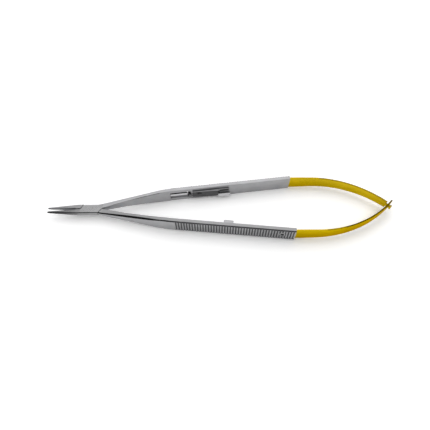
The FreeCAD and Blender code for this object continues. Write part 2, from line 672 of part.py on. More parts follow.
def taper_side(sign, tongue):
    """Outline above (or below) a tapering spring; one has a tongue and T head."""
    def at(text):
        return "%s %s (%s) / 2" % (MID, "+" if sign > 0 else "-", text)
    start = "dims.plate_end + dims.taper_run"
    above = "dims.leaf_height + 2"
    if tongue:
        shoulder_x = "(%s - dims.shoulder_back)" % REACH
        falls = "(dims.leaf_height - dims.leaf_tip_high) / (dims.spring_long - dims.taper_run)"
        rim = [(shoulder_x, at("dims.leaf_tip_high + dims.shoulder_back * " + falls)),
               (shoulder_x, at("dims.neck_high")),
               ("%s - dims.head_back" % REACH, at("dims.neck_high")),
               ("%s - dims.head_back" % REACH, at("dims.head_high")),
               (REACH + " + 2", at("dims.head_high"))]
    else:
        rim = [(REACH, at("dims.leaf_tip_high")), (REACH + " + 2", at("dims.leaf_tip_high"))]
    return [(start, at("dims.leaf_height"))] + rim + [(REACH + " + 2", at(above)),
                                                      (start, at(above))]


leaf("upper_leaf_spring", 1, "(%s - dims.head_end)" % REACH,
     [("taper_top", taper_side(1, True)), ("taper_under", taper_side(-1, True))])
SLOT_AT = ["(%s - dims.%s)" % (REACH, end) for end in ("slot_start", "slot_end")]
leaf("lower_leaf_spring", -1, REACH,
     [("taper_top", taper_side(1, False)), ("taper_under", taper_side(-1, False)),
      ("slot", [(SLOT_AT[0], MID + " - dims.slot_high / 2"),
                (SLOT_AT[1], MID + " - dims.slot_high / 2"),
                (SLOT_AT[1], MID + " + dims.slot_high / 2"),
                (SLOT_AT[0], MID + " + dims.slot_high / 2")])])


# ---- cross rivets of the springs, with a dished head in the serrations ----
def spring_rivet(label, sign):
    """Drawn along Z from the arm's inner face and laid across the plate."""
    body = doc.addObject("PartDesign::Body", label)
    through = "(dims.arm_thick - dims.head_seat)"
    sketch = drawing(body, label + "_line", "XZ_Plane",
                     [("0", "0"), ("dims.rivet_radius", "0"), ("dims.rivet_radius", through),
                      ("dims.head_radius", through),
                      ("dims.head_radius", "dims.arm_thick - dims.head_sunk"),
                      ("dims.rivet_radius * 0.8", "dims.arm_thick - dims.head_sunk - 0.07"),
                      ("0", "dims.arm_thick - dims.head_sunk - 0.07")])
    turned = body.newObject("PartDesign::Revolution", label + "_turned")
    turned.Profile = sketch
    turned.ReferenceAxis = (sketch, ["V_Axis"])
    turned.Angle = 360
    doc.recompute()
    body.Label = label
    s = "" if sign > 0 else "-"
    body.Placement = FreeCAD.Placement(V(), across_plate(sign, -90 * sign))
    bind(body, "Placement.Base.x", "%s + %s - dims.rivet_run * %s + dims.arm_thick * %s"
         % (PIN_X, END_X, PC, PS))
    bind(body, "Placement.Base.y", s + "(%s - dims.rivet_run * %s - dims.arm_thick * %s)"
         % (END_Y, PS, PC))
    bind(body, "Placement.Base.z", MID)
    doc.recompute()
    return body


spring_rivet("upper_spring_rivet", 1)
spring_rivet("lower_spring_rivet", -1)

# ---- lock lever on the inner face of the far arm ----
lever = doc.addObject("PartDesign::Body", "latch_lever")
BACK = "-(dims.arm_thick + dims.lever_play)"
blade = drawing(lever, "blade_line", "XY_Plane",
                [("-dims.lever_front", BACK),
                 ("-dims.lever_front", BACK + " - dims.blade_front_thick"),
                 ("-dims.lever_rear", BACK + " - dims.blade_rear_thick"),
                 ("-dims.lever_rear", BACK)], at=("0", "0", MID))
pad(lever, "blade", blade, "dims.lever_high")
tail = drawing(lever, "tail_line", "XY_Plane",
               [("-dims.lever_rear - dims.tab_lap", BACK),
                ("-dims.lever_rear - dims.tab_lap", BACK + " - dims.tail_thick"),
                ("-dims.tail_rear", BACK + " - dims.tail_thick"),
                ("-dims.tail_rear", BACK)],
               at=("0", "0", "(dims.tail_low + %s + dims.lever_high / 2) / 2" % MID))
pad(lever, "tail", tail, MID + " + dims.lever_high / 2 - dims.tail_low")
OUT = "-(dims.arm_thick + dims.tab_out)"
tab = drawing(lever, "tab_line", "YZ_Plane",
              [(BACK, "dims.tab_low"), (OUT, "dims.tab_low"), (OUT, "dims.tab_top"),
               (OUT + " + dims.tab_thick", "dims.tab_top"),
               (OUT + " + dims.tab_thick", "dims.tab_low + dims.tab_thick"),
               (BACK, "dims.tab_low + dims.tab_thick")],
              at=("0", "0", "-(dims.lever_rear + dims.tab_lap + dims.tab_rear) / 2"))
pad(lever, "tab", tab, "dims.lever_rear + dims.tab_lap - dims.tab_rear")
heel = drawing(lever, "heel_line", "XY_Plane",
               [("-dims.lever_front + 0.5", BACK),
                ("-(dims.plate_end - dims.window_end) / %s - dims.heel_gap" % PC, BACK),
                ("-(dims.plate_end - dims.window_end) / %s - dims.heel_gap" % PC,
                 "-dims.arm_thick + dims.heel_in"),
                ("-dims.heel_front", "-dims.arm_thick + dims.heel_in"),
                ("-dims.heel_front", BACK + " - dims.blade_front_thick"),
                ("-dims.lever_front + 0.5", BACK + " - dims.blade_front_thick")],
               at=("0", "0", "(dims.heel_low + dims.heel_top) / 2"))
pad(lever, "heel", heel, "dims.heel_top - dims.heel_low")
lever_hole = circle(lever, "lever_hole_line", "XZ_Plane",
                    "dims.swing_radius + dims.pin_play", "-dims.swing_run", MID,
                    ("0", "0", "0"))
cut(lever, "lever_hole", lever_hole)
END_AT = dict(x="%s + %s" % (PIN_X, END_X), turn="dims.plate_angle")
set_in_place(lever, "latch_lever", y=END_Y, **END_AT)

# ---- rivet that the lever swings on ----
swing = doc.addObject("PartDesign::Body", "latch_pivot_rivet")
BLADE_AT_SWING = ("(dims.blade_front_thick + (dims.blade_rear_thick - dims.blade_front_thick)"
                  " * (dims.lever_front - dims.swing_run) / (dims.lever_front - dims.lever_rear))")
NECK = "(dims.arm_thick + dims.lever_play + %s + dims.lever_play)" % BLADE_AT_SWING
swing_line = drawing(swing, "swing_line", "XZ_Plane",
                     [("0", "dims.rib_deep"), ("dims.swing_radius", "dims.rib_deep"),
                      ("dims.swing_radius", NECK), ("dims.swing_head", NECK),
                      ("dims.swing_head * 0.8", NECK + " + dims.swing_head_thick"),
                      ("0", NECK + " + dims.swing_head_thick")])
turned = swing.newObject("PartDesign::Revolution", "swing_turned")
turned.Profile = swing_line
turned.ReferenceAxis = (swing_line, ["V_Axis"])
turned.Angle = 360
doc.recompute()
swing.Label = "latch_pivot_rivet"
swing.Placement = FreeCAD.Placement(V(), across_plate(1, 90))
bind(swing, "Placement.Base.x", "%s + %s - dims.swing_run * %s" % (PIN_X, END_X, PC))
bind(swing, "Placement.Base.y", "%s - dims.swing_run * %s" % (END_Y, PS))
bind(swing, "Placement.Base.z", MID)
doc.recompute()

# ---- return spring of the lever, a bar in the window ----
bar = doc.addObject("PartDesign::Body", "latch_return_spring")
BAR_TIP = "(-(dims.plate_end - dims.bar_end) / %s)" % PC
bar_line = drawing(bar, "bar_line", "XY_Plane",
                   [(BAR_BACK, BAR_FAR), (BAR_TIP, BAR_FAR), (BAR_TIP, BAR_NEAR),
                    (BAR_BACK, BAR_NEAR)], at=("0", "0", MID))
pad(bar, "bar", bar_line, "dims.bar_high")
tip_x = value(BAR_TIP)
square_bar = bar.Tip
rounding = bar.newObject("PartDesign::Fillet", "bar_tip")
rounding.Base = (square_bar, edges_at(
    square_bar.Shape, lambda p: abs(p.x - tip_x) < 1e-5
    and abs(abs(p.z - value(MID)) - value("dims.bar_high / 2")) < 1e-5))
bind(rounding, "Radius", "dims.bar_high * 0.48")
doc.recompute()
set_in_place(bar, "latch_return_spring", y=END_Y, **END_AT)

# ---- catch on the inner face of the near arm, hooked over towards -Z ----
catch = doc.addObject("PartDesign::Body", "catch_hook")
IN = "dims.arm_thick"
CATCH_MID = "(-(dims.catch_front + dims.catch_rear) / 2)"
post = drawing(catch, "post_line", "YZ_Plane",
               [(IN, "dims.catch_step"),
                (IN + " + dims.catch_out - dims.lip_thick", "dims.catch_step"),
                (IN + " + dims.catch_out - dims.lip_thick", "dims.catch_low + 0.25"),
                (IN + " + dims.catch_out - dims.lip_thick * 0.7", "dims.catch_low"),
                (IN + " + dims.catch_out", "dims.catch_step"),
                (IN + " + dims.catch_out", "dims.catch_top - 0.25"),
                (IN + " + dims.catch_out - 0.25", "dims.catch_top"),
                (IN, "dims.catch_top")], at=("0", "0", CATCH_MID))
pad(catch, "post", post, "dims.catch_front - dims.catch_rear")
tenon = drawing(catch, "tenon_line", "YZ_Plane",
                [(IN + " - dims.tenon_in", "dims.catch_step"), (IN + " + 0.2", "dims.catch_step"),
                 (IN + " + 0.2", "dims.catch_top"), (IN + " - dims.tenon_in", "dims.catch_top")],
                at=("0", "0", CATCH_MID))
pad(catch, "tenon", tenon, "dims.tenon_long")
set_in_place(catch, "catch_hook", x="%s + %s" % (PIN_X, END_X), y="-" + END_Y,
             turn="-dims.plate_angle")

doc.recompute()
NODES = [
    "lower_arm", "upper_arm", "joint_pin", "upper_jaw_insert", "lower_jaw_insert",
    "upper_leaf_spring", "lower_leaf_spring", "upper_spring_rivet", "lower_spring_rivet",
    "latch_lever", "latch_pivot_rivet", "latch_return_spring", "catch_hook",
]
for thing in doc.Objects:
    if "Invalid" in thing.State or "Error" in thing.State:
        raise ValueError("%s failed: %s" % (thing.Label, thing.State))
os.makedirs("parts", exist_ok=True)
for label in NODES:
    piece = [o for o in doc.Objects if o.Label == label][0]
    shape = piece.Shape
    if shape.isNull() or not shape.isValid() or len(shape.Solids) != 1:
        raise ValueError("%s is not one valid solid: %d" % (label, len(shape.Solids)))
    box = shape.BoundBox
    print("%-20s X %8.3f %8.3f  Y %7.3f %7.3f  Z %6.3f %6.3f  volume %8.3f" % (
        label, box.XMin, box.XMax, box.YMin, box.YMax, box.ZMin, box.ZMax, shape.Volume))
for label in NODES:
    piece = [o for o in doc.Objects if o.Label == label][0]
    piece.Shape.exportStep("parts/" + label + ".step")
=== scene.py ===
"""Dress of a locking micro needle holder, lying on the edges of its two arms.

Lengths are in metres in the row frame: X along the instrument with the jaws
at -X, +Y towards the arm that carries the lock lever, Z up.
"""
from __future__ import annotations

import json
import logging
import math
from dataclasses import dataclass
from enum import Enum

import bmesh
import bpy
from bmesh.types import BMEdge, BMesh, BMFace, BMVert
from bpy.types import Material, Node, NodeSocket, NodeTree, Object
from mathutils import Matrix, Vector

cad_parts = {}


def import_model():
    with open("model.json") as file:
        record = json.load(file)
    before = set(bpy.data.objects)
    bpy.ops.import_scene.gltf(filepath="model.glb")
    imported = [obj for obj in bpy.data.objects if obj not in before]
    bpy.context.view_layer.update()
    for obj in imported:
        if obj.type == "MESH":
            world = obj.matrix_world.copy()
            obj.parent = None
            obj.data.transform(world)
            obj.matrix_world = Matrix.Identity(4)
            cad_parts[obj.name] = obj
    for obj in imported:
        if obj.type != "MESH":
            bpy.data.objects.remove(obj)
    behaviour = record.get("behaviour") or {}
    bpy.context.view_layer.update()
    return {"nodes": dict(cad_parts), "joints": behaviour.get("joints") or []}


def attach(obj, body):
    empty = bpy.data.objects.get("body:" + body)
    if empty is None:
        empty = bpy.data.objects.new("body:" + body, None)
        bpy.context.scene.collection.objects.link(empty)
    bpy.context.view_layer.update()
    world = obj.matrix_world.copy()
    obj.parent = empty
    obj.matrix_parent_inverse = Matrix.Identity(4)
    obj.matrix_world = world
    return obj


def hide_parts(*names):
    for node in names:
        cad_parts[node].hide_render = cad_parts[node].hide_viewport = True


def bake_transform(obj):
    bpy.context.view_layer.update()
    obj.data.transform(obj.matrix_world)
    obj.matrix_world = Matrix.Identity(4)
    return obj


LOG = logging.getLogger("needle_holder")
MM = 0.001
LATCH_BODY = "latch"
MERGE_GAP = 0.001 * MM

# Bounds that a noise seldom leaves
NOISE_LOW, NOISE_HIGH = 0.3, 0.7

# Least part of a face's normal along an axis, by how the face lies
LEVEL = 0.95  # level, without the roundings at its edges
NEARLY_LEVEL = 0.9  # with the upper row of those roundings
UPRIGHT = 0.8
MOSTLY = 0.6
LEANING = 0.5
SLANTED = 0.4
LIT = 0.3  # turned towards the light so far that it shows


class Half(Enum):
    """The two halves of the instrument, by the body that carries them."""

    NEAR = "near_half"
    FAR = "far_half"

    @property
    def side(self) -> int:
        """Return +1 for the half behind the axis and -1 for the one in front."""
        return 1 if self is Half.FAR else -1

    @property
    def other(self) -> Half:
        """Return the half across the joint."""
        return Half.NEAR if self is Half.FAR else Half.FAR


class Slot(Enum):
    """Material slots of the record."""

    SATIN = "satin_steel"
    POLISHED = "polished_steel"
    DARK = "dark_steel"
    CARBIDE = "carbide"
    GOLD = "gold_plate"


@dataclass(frozen=True)
class Plan:
    """Places that several pieces share, measured from the box-lock pin.

    Args:
        pin: the pin's centre in the row frame.
        plate_angle: lean of a handle plate away from the axis.
        plate_end: pin to the rear end of an arm, along X.
        plate_edge: axis to the outer corner at that end.
        arm_thick: thickness of a handle plate.
    """

    pin: Vector
    plate_angle: float = math.radians(6.25)
    plate_end: float = 81.0 * MM
    plate_edge: float = 13.325 * MM
    arm_thick: float = 1.7 * MM

    def along(self) -> Vector:
        """Return the direction of the far half's plate, towards its rear end."""
        return Vector((math.cos(self.plate_angle), math.sin(self.plate_angle), 0))

    def outward(self) -> Vector:
        """Return the outward normal of the far half's plate."""
        return Vector((-math.sin(self.plate_angle), math.cos(self.plate_angle), 0))

    def corner(self) -> Vector:
        """Return the outer corner at the rear end of the far half's plate."""
        return self.pin + Vector((self.plate_end, self.plate_edge, 0))

    def on_plate(self, half: Half, run: float, depth: float) -> Vector:
        """Find a point of a handle plate at the pin's height.

        Args:
            half: which of the two plates.
            run: distance from the plate's rear end, towards the joint.
            depth: distance below the plate's outer face.

        Returns:
            The point in the row frame.
        """
        point = self.corner() - self.along() * run - self.outward() * depth
        point.y *= half.side
        return point


@dataclass(frozen=True)
class Fade:
    """A value that follows another one between two bounds.

    Args:
        start: where the fade starts.
        end: where it ends.
        low: result before the start.
        high: result after the end.
        smooth: whether it eases in and out.
    """

    start: float
    end: float
    low: float
    high: float
    smooth: bool = True

    def follow(self, tree: NodeTree, source: NodeSocket) -> NodeSocket:
        """Add the fade to a node tree.

        Args:
            tree: the node tree.
            source: socket of the value that the fade follows.

        Returns:
            The socket of the result.
        """
        node = tree.nodes.new("ShaderNodeMapRange")
        if self.smooth:
            node.interpolation_type = "SMOOTHSTEP"
        node.inputs["From Min"].default_value = self.start
        node.inputs["From Max"].default_value = self.end
        node.inputs["To Min"].default_value = self.low
        node.inputs["To Max"].default_value = self.high
        tree.links.new(source, node.inputs["Value"])
        return node.outputs["Result"]


def join(tree: NodeTree, operation: str, first: NodeSocket, second: NodeSocket) -> NodeSocket:
    """Join two values by a Math node.

    Args:
        tree: the node tree.
        operation: name of the Math node's operation.
        first: socket of the first value.
        second: socket of the second value.

    Returns:
        The socket of the result.
    """
    node = tree.nodes.new("ShaderNodeMath")
    node.operation = operation
    tree.links.new(first, node.inputs[0])
    tree.links.new(second, node.inputs[1])
    return node.outputs["Value"]


@dataclass(frozen=True)
class Metal:
    """A metal finish whose grain and blotches are worked out in the shader.

    Args:
        name: the material's name.
        slot: the record's material slot; not used.
        colour: reflectance of the metal.
        roughness: middle of the roughness range.
        wander: how far the roughness strays from its middle.
        tint: how far the reflectance strays, as a share of it.
        grain: size of the grain, in millimetres.
        relief: height of the grain, in millimetres.
        lay: how many times shorter the grain is along X, Y and Z.
        patch: size of the soft blotches, in millimetres.
        edge: reflectance at a flat angle, as a share of white.
        dim: share of the reflectance that is left towards -X; that darkening is painted shade.
        dim_span: where that starts and ends along X, in millimetres.
    """

    name: str
    slot: Slot
    colour: tuple[float, float, float]
    roughness: float
    wander: float = 0.05
    tint: float = 0.08
    grain: float = 0.12
    relief: float = 0.0012
    lay: tuple[float, float, float] = (1.0, 1.0, 1.0)
    patch: float = 5.0
    edge: tuple[float, float, float] = (1.0, 1.0, 1.0)
    dim: float = 1.0
    dim_span: tuple[float, float] = (-65.0, -54.0)

    def material(self) -> Material:
        """Make the material, or find the one that is made.

        Returns:
            The material.
        """
        made = bpy.data.materials.get(self.name)
        if made:
            return made
        made = bpy.data.materials.new(self.name)
        made.use_nodes = True
        tree = made.node_tree
        shader = tree.nodes["Principled BSDF"]
        shader.inputs["Metallic"].default_value = 1.0
        shader.inputs["Specular Tint"].default_value = (*self.edge, 1.0)
        place = tree.nodes.new("ShaderNodeTexCoord").outputs["Object"]
        blotch = self.noise(tree, place, self.patch, 3.0, (1.0, 1.0, 1.0))
        fine = self.noise(tree, place, self.grain, 2.0, self.lay)
        self.vary_colour(tree, shader, blotch, place)
        self.vary_roughness(tree, shader, blotch, fine)
        self.raise_grain(tree, shader, fine)
        made.diffuse_color = (*self.colour, 1.0)
        return made

    @staticmethod
    def noise(tree: NodeTree, place: NodeSocket, size: float, detail: float,
              lay: tuple[float, float, float]) -> NodeSocket:
        """Add a noise of a given size.

        Args:
            tree: the material's node tree.
            place: socket of the object coordinates.
            size: size of the noise, in millimetres.
            detail: octaves of the noise.
            lay: stretch of the coordinates along X, Y and Z.

        Returns:
            The socket of the noise's value.
        """
        mapping = tree.nodes.new("ShaderNodeMapping")
        mapping.inputs["Scale"].default_value = lay
        tree.links.new(place, mapping.inputs["Vector"])
        noise = tree.nodes.new("ShaderNodeTexNoise")
        noise.inputs["Scale"].default_value = 1.0 / (size * MM)
        noise.inputs["Detail"].default_value = detail
        tree.links.new(mapping.outputs["Vector"], noise.inputs["Vector"])
        return noise.outputs["Fac"]

    def vary_colour(self, tree: NodeTree, shader: Node, blotch: NodeSocket,
                    place: NodeSocket) -> None:
        """Let the reflectance wander with the blotches and fade towards -X, which is painted
        shade.

        Args:
            tree: the material's node tree.
            shader: the metal's shader.
            blotch: socket of the blotches' noise.
            place: socket of the object coordinates.
        """
        ramp = tree.nodes.new("ShaderNodeValToRGB")
        low, high = ramp.color_ramp.elements
        low.position, high.position = NOISE_LOW, NOISE_HIGH
        low.color = (*(c * (1.0 - self.tint) for c in self.colour), 1.0)
        high.color = (*(min(1.0, c * (1.0 + self.tint)) for c in self.colour), 1.0)
        tree.links.new(blotch, ramp.inputs["Fac"])
        if self.dim == 1.0:
            tree.links.new(ramp.outputs["Color"], shader.inputs["Base Color"])
            return
        split = tree.nodes.new("ShaderNodeSeparateXYZ")
        tree.links.new(place, split.inputs["Vector"])
        first, last = self.dim_span
        left = Fade(first * MM, last * MM, self.dim, 1.0, smooth=False)
        scaled = tree.nodes.new("ShaderNodeVectorMath")
        scaled.operation = "SCALE"
        tree.links.new(ramp.outputs["Color"], scaled.inputs[0])
        tree.links.new(left.follow(tree, split.outputs["X"]), scaled.inputs["Scale"])
        tree.links.new(scaled.outputs["Vector"], shader.inputs["Base Color"])

    def vary_roughness(self, tree: NodeTree, shader: Node, blotch: NodeSocket,
                       fine: NodeSocket) -> None:
        """Let the roughness wander with the blotches and the grain.

        Args:
            tree: the material's node tree.
            shader: the metal's shader.
            blotch: socket of the blotches' noise.
            fine: socket of the grain's noise.
        """
        both = join(tree, "ADD", blotch, fine)
        spread = Fade(2 * NOISE_LOW, 2 * NOISE_HIGH, self.roughness - self.wander,
                      self.roughness + self.wander, smooth=False)
        tree.links.new(spread.follow(tree, both), shader.inputs["Roughness"])

    def raise_grain(self, tree: NodeTree, shader: Node, fine: NodeSocket) -> None:
        """Raise the grain as bump.

        Args:
            tree: the material's node tree.
            shader: the metal's shader.
            fine: socket of the grain's noise.
        """
        bump = tree.nodes.new("ShaderNodeBump")
        bump.inputs["Strength"].default_value = 1.0
        bump.inputs["Distance"].default_value = self.relief * MM
        tree.links.new(fine, bump.inputs["Height"])
        tree.links.new(bump.outputs["Normal"], shader.inputs["Normal"])


SATIN_STEEL = Metal("satin_steel_ground", Slot.SATIN, (0.37, 0.37, 0.38), 0.34, relief=0.0005)
# The narrow faces above and below: the near arm's copy is darker than the far arm's, as painted
# shade.
NEAR_LAND_SHADED = Metal("near_land_painted_shade", Slot.SATIN, (0.29, 0.29, 0.295), 0.34, relief=0.0005)
FAR_LAND = Metal("far_land_ground", Slot.SATIN, (0.38, 0.38, 0.39), 0.34, relief=0.0005)
LOCK_STEEL = Metal("lock_steel_fine", Slot.SATIN, (0.30, 0.30, 0.305), 0.28, relief=0.0002)
# The near jaw's steel darkens towards the tips as painted shade, and darker still on its sides.
JAW_STEEL_SHADED = Metal("jaw_steel_fine_painted_shade", Slot.SATIN, (0.30, 0.30, 0.305), 0.28, relief=0.0002,
                  dim=0.45)
JAW_SIDE_SHADED = Metal("jaw_side_fine_painted_shade", Slot.SATIN, (0.30, 0.30, 0.305), 0.28, relief=0.0002,
                 dim=0.12)
# Near black: painted shade, used in the window, on the lock's crosswise faces, on the bar's top,
# in the rivet dishes and on the window block.
SHADE_BLACK = Metal("painted_shade_black", Slot.SATIN, (0.035, 0.035, 0.036), 0.50)
# Dark grey and rough: painted shade in the serration grooves and on the window's upward walls;
# the roughness is the milled finish.
RECESS_SHADE = Metal("recess_painted_shade_milled", Slot.SATIN, (0.12, 0.12, 0.125), 0.42,
                     relief=0.0005)
EDGE_STEEL = Metal("edge_steel_buffed", Slot.SATIN, (0.45, 0.45, 0.46), 0.08, relief=0.0001)
DARK_STEEL = Metal("lever_steel_dark", Slot.DARK, (0.10, 0.10, 0.102), 0.55)
# Painted light: a lighter copy of the lever steel for the blade's faces that turn up.
LEVER_LIT_TOP = Metal("lever_painted_light", Slot.DARK, (0.42, 0.42, 0.43), 0.40)
# Painted light: a brighter copy of the hook's steel for its faces that turn up or back.
HOOK_LIT = Metal("hook_painted_light", Slot.DARK, (0.75, 0.75, 0.76), 0.35)
HOOK_STEEL = Metal("hook_steel_bright", Slot.DARK, (0.50, 0.50, 0.51), 0.25)
BRIGHT_STEEL = Metal("spring_steel_bright", Slot.POLISHED, (0.60, 0.60, 0.61), 0.14,
                     relief=0.0003)
CARBIDE = Metal("carbide_ground", Slot.CARBIDE, (0.17, 0.172, 0.18), 0.38)
# Darker copies of the gold plate: painted shade on the springs' narrow edges along the arc.
GOLD_DEEP_SHADE = Metal("gold_plate_deep_painted_shade", Slot.GOLD, (0.10, 0.07, 0.002), 0.30, tint=0.10,
                  relief=0.0003, edge=(0.3, 0.2, 0.02))
GOLD_SHADE = Metal("gold_plate_painted_shade", Slot.GOLD, (0.30, 0.21, 0.005), 0.30, tint=0.10,
                  relief=0.0003, edge=(0.5, 0.35, 0.03))
GOLD = Metal("gold_plate_satin", Slot.GOLD, (0.56, 0.405, 0.014), 0.30, tint=0.08,
             grain=0.1, lay=(0.15, 0.15, 1.0), relief=0.0004, patch=9.0,
             edge=(0.85, 0.62, 0.08))


def sharp_edges(mesh: BMesh, least: float) -> list[BMEdge]:
    """List the edges whose faces turn by more than an angle.

    Args:
        mesh: the mesh.
        least: smallest turn, in degrees.

    Returns:
        The edges.
    """
    limit = math.radians(least)
    return [e for e in mesh.edges if e.is_manifold and e.calc_face_angle() > limit]


def round_off(mesh: BMesh, edges: list[BMEdge], width: float, segments: int) -> None:
    """Round edges by a width.

    Args:
        mesh: the mesh.
        edges: the edges to round.
        width: distance of the rounding from the edge.
        segments: faces across the rounding.
    """
    bmesh.ops.bevel(mesh, geom=edges, offset=width, offset_type="OFFSET", segments=segments,
                    affect="EDGES", profile=0.5, material=-1, clamp_overlap=False)


def cut_across(mesh: BMesh, place: float, faces: list[BMFace] | None = None,
               level: bool = False) -> None:
    """Cut faces by a plane, so that edges lie where it passes.

    Args:
        mesh: the mesh.
        place: where the plane is along X, or along Z where it is level.
        faces: the faces to cut, or None for the whole mesh.
        level: whether the plane is level and not across the instrument.
    """
    if faces is None:
        geom = [*mesh.verts, *mesh.edges, *mesh.faces]
    else:
        geom = [*faces, *dict.fromkeys(edge for face in faces for edge in face.edges),
                *dict.fromkeys(vert for face in faces for vert in face.verts)]
    way = Vector((0, 0, 1)) if level else Vector((1, 0, 0))
    bmesh.ops.bisect_plane(mesh, geom=geom, plane_co=way * place, plane_no=way)


def as_object(mesh: BMesh, name: str, finishes: list[Metal], crease: float = 15.0) -> Object:
    """Turn a mesh into a finished piece.

    Args:
        mesh: the mesh, which is freed.
        name: the piece's name.
        finishes: its finishes, in the order of its faces' material indices.
        crease: turn above which an edge stays crisp, in degrees.

    Returns:
        The piece.
    """
    data = bpy.data.meshes.new(name)
    for face in mesh.faces:
        face.smooth = True
    mesh.to_mesh(data)
    mesh.free()
    data.set_sharp_from_angle(angle=math.radians(crease))
    for finish in finishes:
        data.materials.append(finish.material())
    piece = bpy.data.objects.new(name, data)
    bpy.context.scene.collection.objects.link(piece)
    return piece


@dataclass
class GroundPiece:
    """A machined piece whose edges are broken by hand.

    Args:
        plan: the shared places.
        node: the solid that it stands for.
        body: the body that it rides on.
        finish: its main finish.
        edge_break: width of the broken edges.
        segments: faces across a broken edge.
        flat_turn: largest turn between facets that are joined, in degrees.
        least_turn: smallest turn of an edge that is broken, in degrees.
        wide_break: width of the edges that are broken wider, before the others.
        wide_turn: smallest turn of such an edge, in degrees.
    """

    plan: Plan
    node: str
    body: str
    finish: Metal
    edge_break: float = 0.05 * MM
    segments: int = 2
    flat_turn: float = 0.5
    least_turn: float = 25.0
    wide_break: float = 0.14 * MM
    wide_turn: float = 60.0

    def finishes(self) -> list[Metal]:
        """List the piece's finishes, the main one first."""
        return [self.finish]

    def finish_of(self, middle: Vector, normal: Vector) -> Metal:
        """Choose the finish of a face by its middle and normal."""
        return self.finish

    def reshape(self, mesh: BMesh) -> None:
        """Change the merged copy before its edges are broken, if it needs that."""

    def is_broken(self, middle: Vector) -> bool:
        """Tell whether an edge is broken, by its middle."""
        return True

    def is_wide(self, edge: BMEdge) -> bool:
        """Tell whether an edge is broken wider than the others."""
        return False

    def build(self, nodes: dict[str, Object]) -> Object:
        """Build the piece from a merged copy of its solid.

        Args:
            nodes: the frame's nodes.

        Returns:
            The piece, riding on its body.
        """
        mesh = bmesh.new()
        mesh.from_mesh(nodes[self.node].data)
        bmesh.ops.remove_doubles(mesh, verts=mesh.verts, dist=MERGE_GAP)
        bmesh.ops.dissolve_limit(mesh, angle_limit=math.radians(self.flat_turn),
                                 verts=mesh.verts, edges=mesh.edges)
        self.reshape(mesh)
        wide = [e for e in sharp_edges(mesh, self.wide_turn) if self.is_wide(e)]
        round_off(mesh, wide, self.wide_break, segments=1)
        edges = [e for e in sharp_edges(mesh, self.least_turn)
                 if self.is_broken((e.verts[0].co + e.verts[1].co) / 2)]
        round_off(mesh, edges, self.edge_break, self.segments)
        finishes = self.finishes()
        for face in mesh.faces:
            finish = self.finish_of(face.calc_center_median(), face.normal)
            face.material_index = finishes.index(finish)
        piece = as_object(mesh, self.node + "_ground", finishes)
        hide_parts(self.node)
        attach(piece, self.body)
        return piece


@dataclass(frozen=True)
class WideChamfer:
    """A stretch of an arm's long upper chamfer in front that is ground wider.

    Args:
        pin: the pin's centre in the row frame.
        first: pin to the front end of the stretch, along X.
        last: pin to its rear end.
        most: how much wider it is in its middle, on each face.
        off_axis: least distance of the chamfer in front of the axis.
        cuts: cuts across the stretch, which let its edges bow.
    """

    pin: Vector
    first: float
    last: float
    most: float
    off_axis: float = 0.5 * MM
    cuts: int = 12

    def faces(self, mesh: BMesh) -> list[BMFace]:
        """List the chamfer's faces in the stretch.

        Args:
            mesh: the merged copy of an arm.

        Returns:
            The faces.
        """
        return [face for face in mesh.faces
                if face.normal.z > SLANTED and face.normal.y < -SLANTED
                and min(vert.co.z for vert in face.verts) > self.pin.z
                and min(vert.co.x for vert in face.verts) < self.pin.x + self.last
                and max(vert.co.x for vert in face.verts) > self.pin.x + self.first
                and face.calc_center_median().y < self.pin.y - self.off_axis]

    def grind(self, mesh: BMesh) -> None:
        """Grind the stretch wider: its upper edge backwards, its lower one down.

        Only the chamfer's own faces are cut, so that the pin's hole keeps its facets.

        Args:
            mesh: the merged copy of an arm.
        """
        length = self.last - self.first
        for i in range(1, self.cuts + 1):
            run = self.first + length * i / (self.cuts + 1)
            cut_across(mesh, self.pin.x + run, self.faces(mesh))
        mesh.normal_update()
        moves = {}
        for face in self.faces(mesh):
            for vert in face.verts:
                share = (vert.co.x - self.pin.x - self.first) / length
                move = self.most * math.sin(math.pi * min(1.0, max(0.0, share)))
                top = max(other.normal.z for other in vert.link_faces) > LEVEL
                moves[vert] = Vector((0, move, 0)) if top else Vector((0, 0, -move))
        for vert, move in moves.items():
            vert.co += move


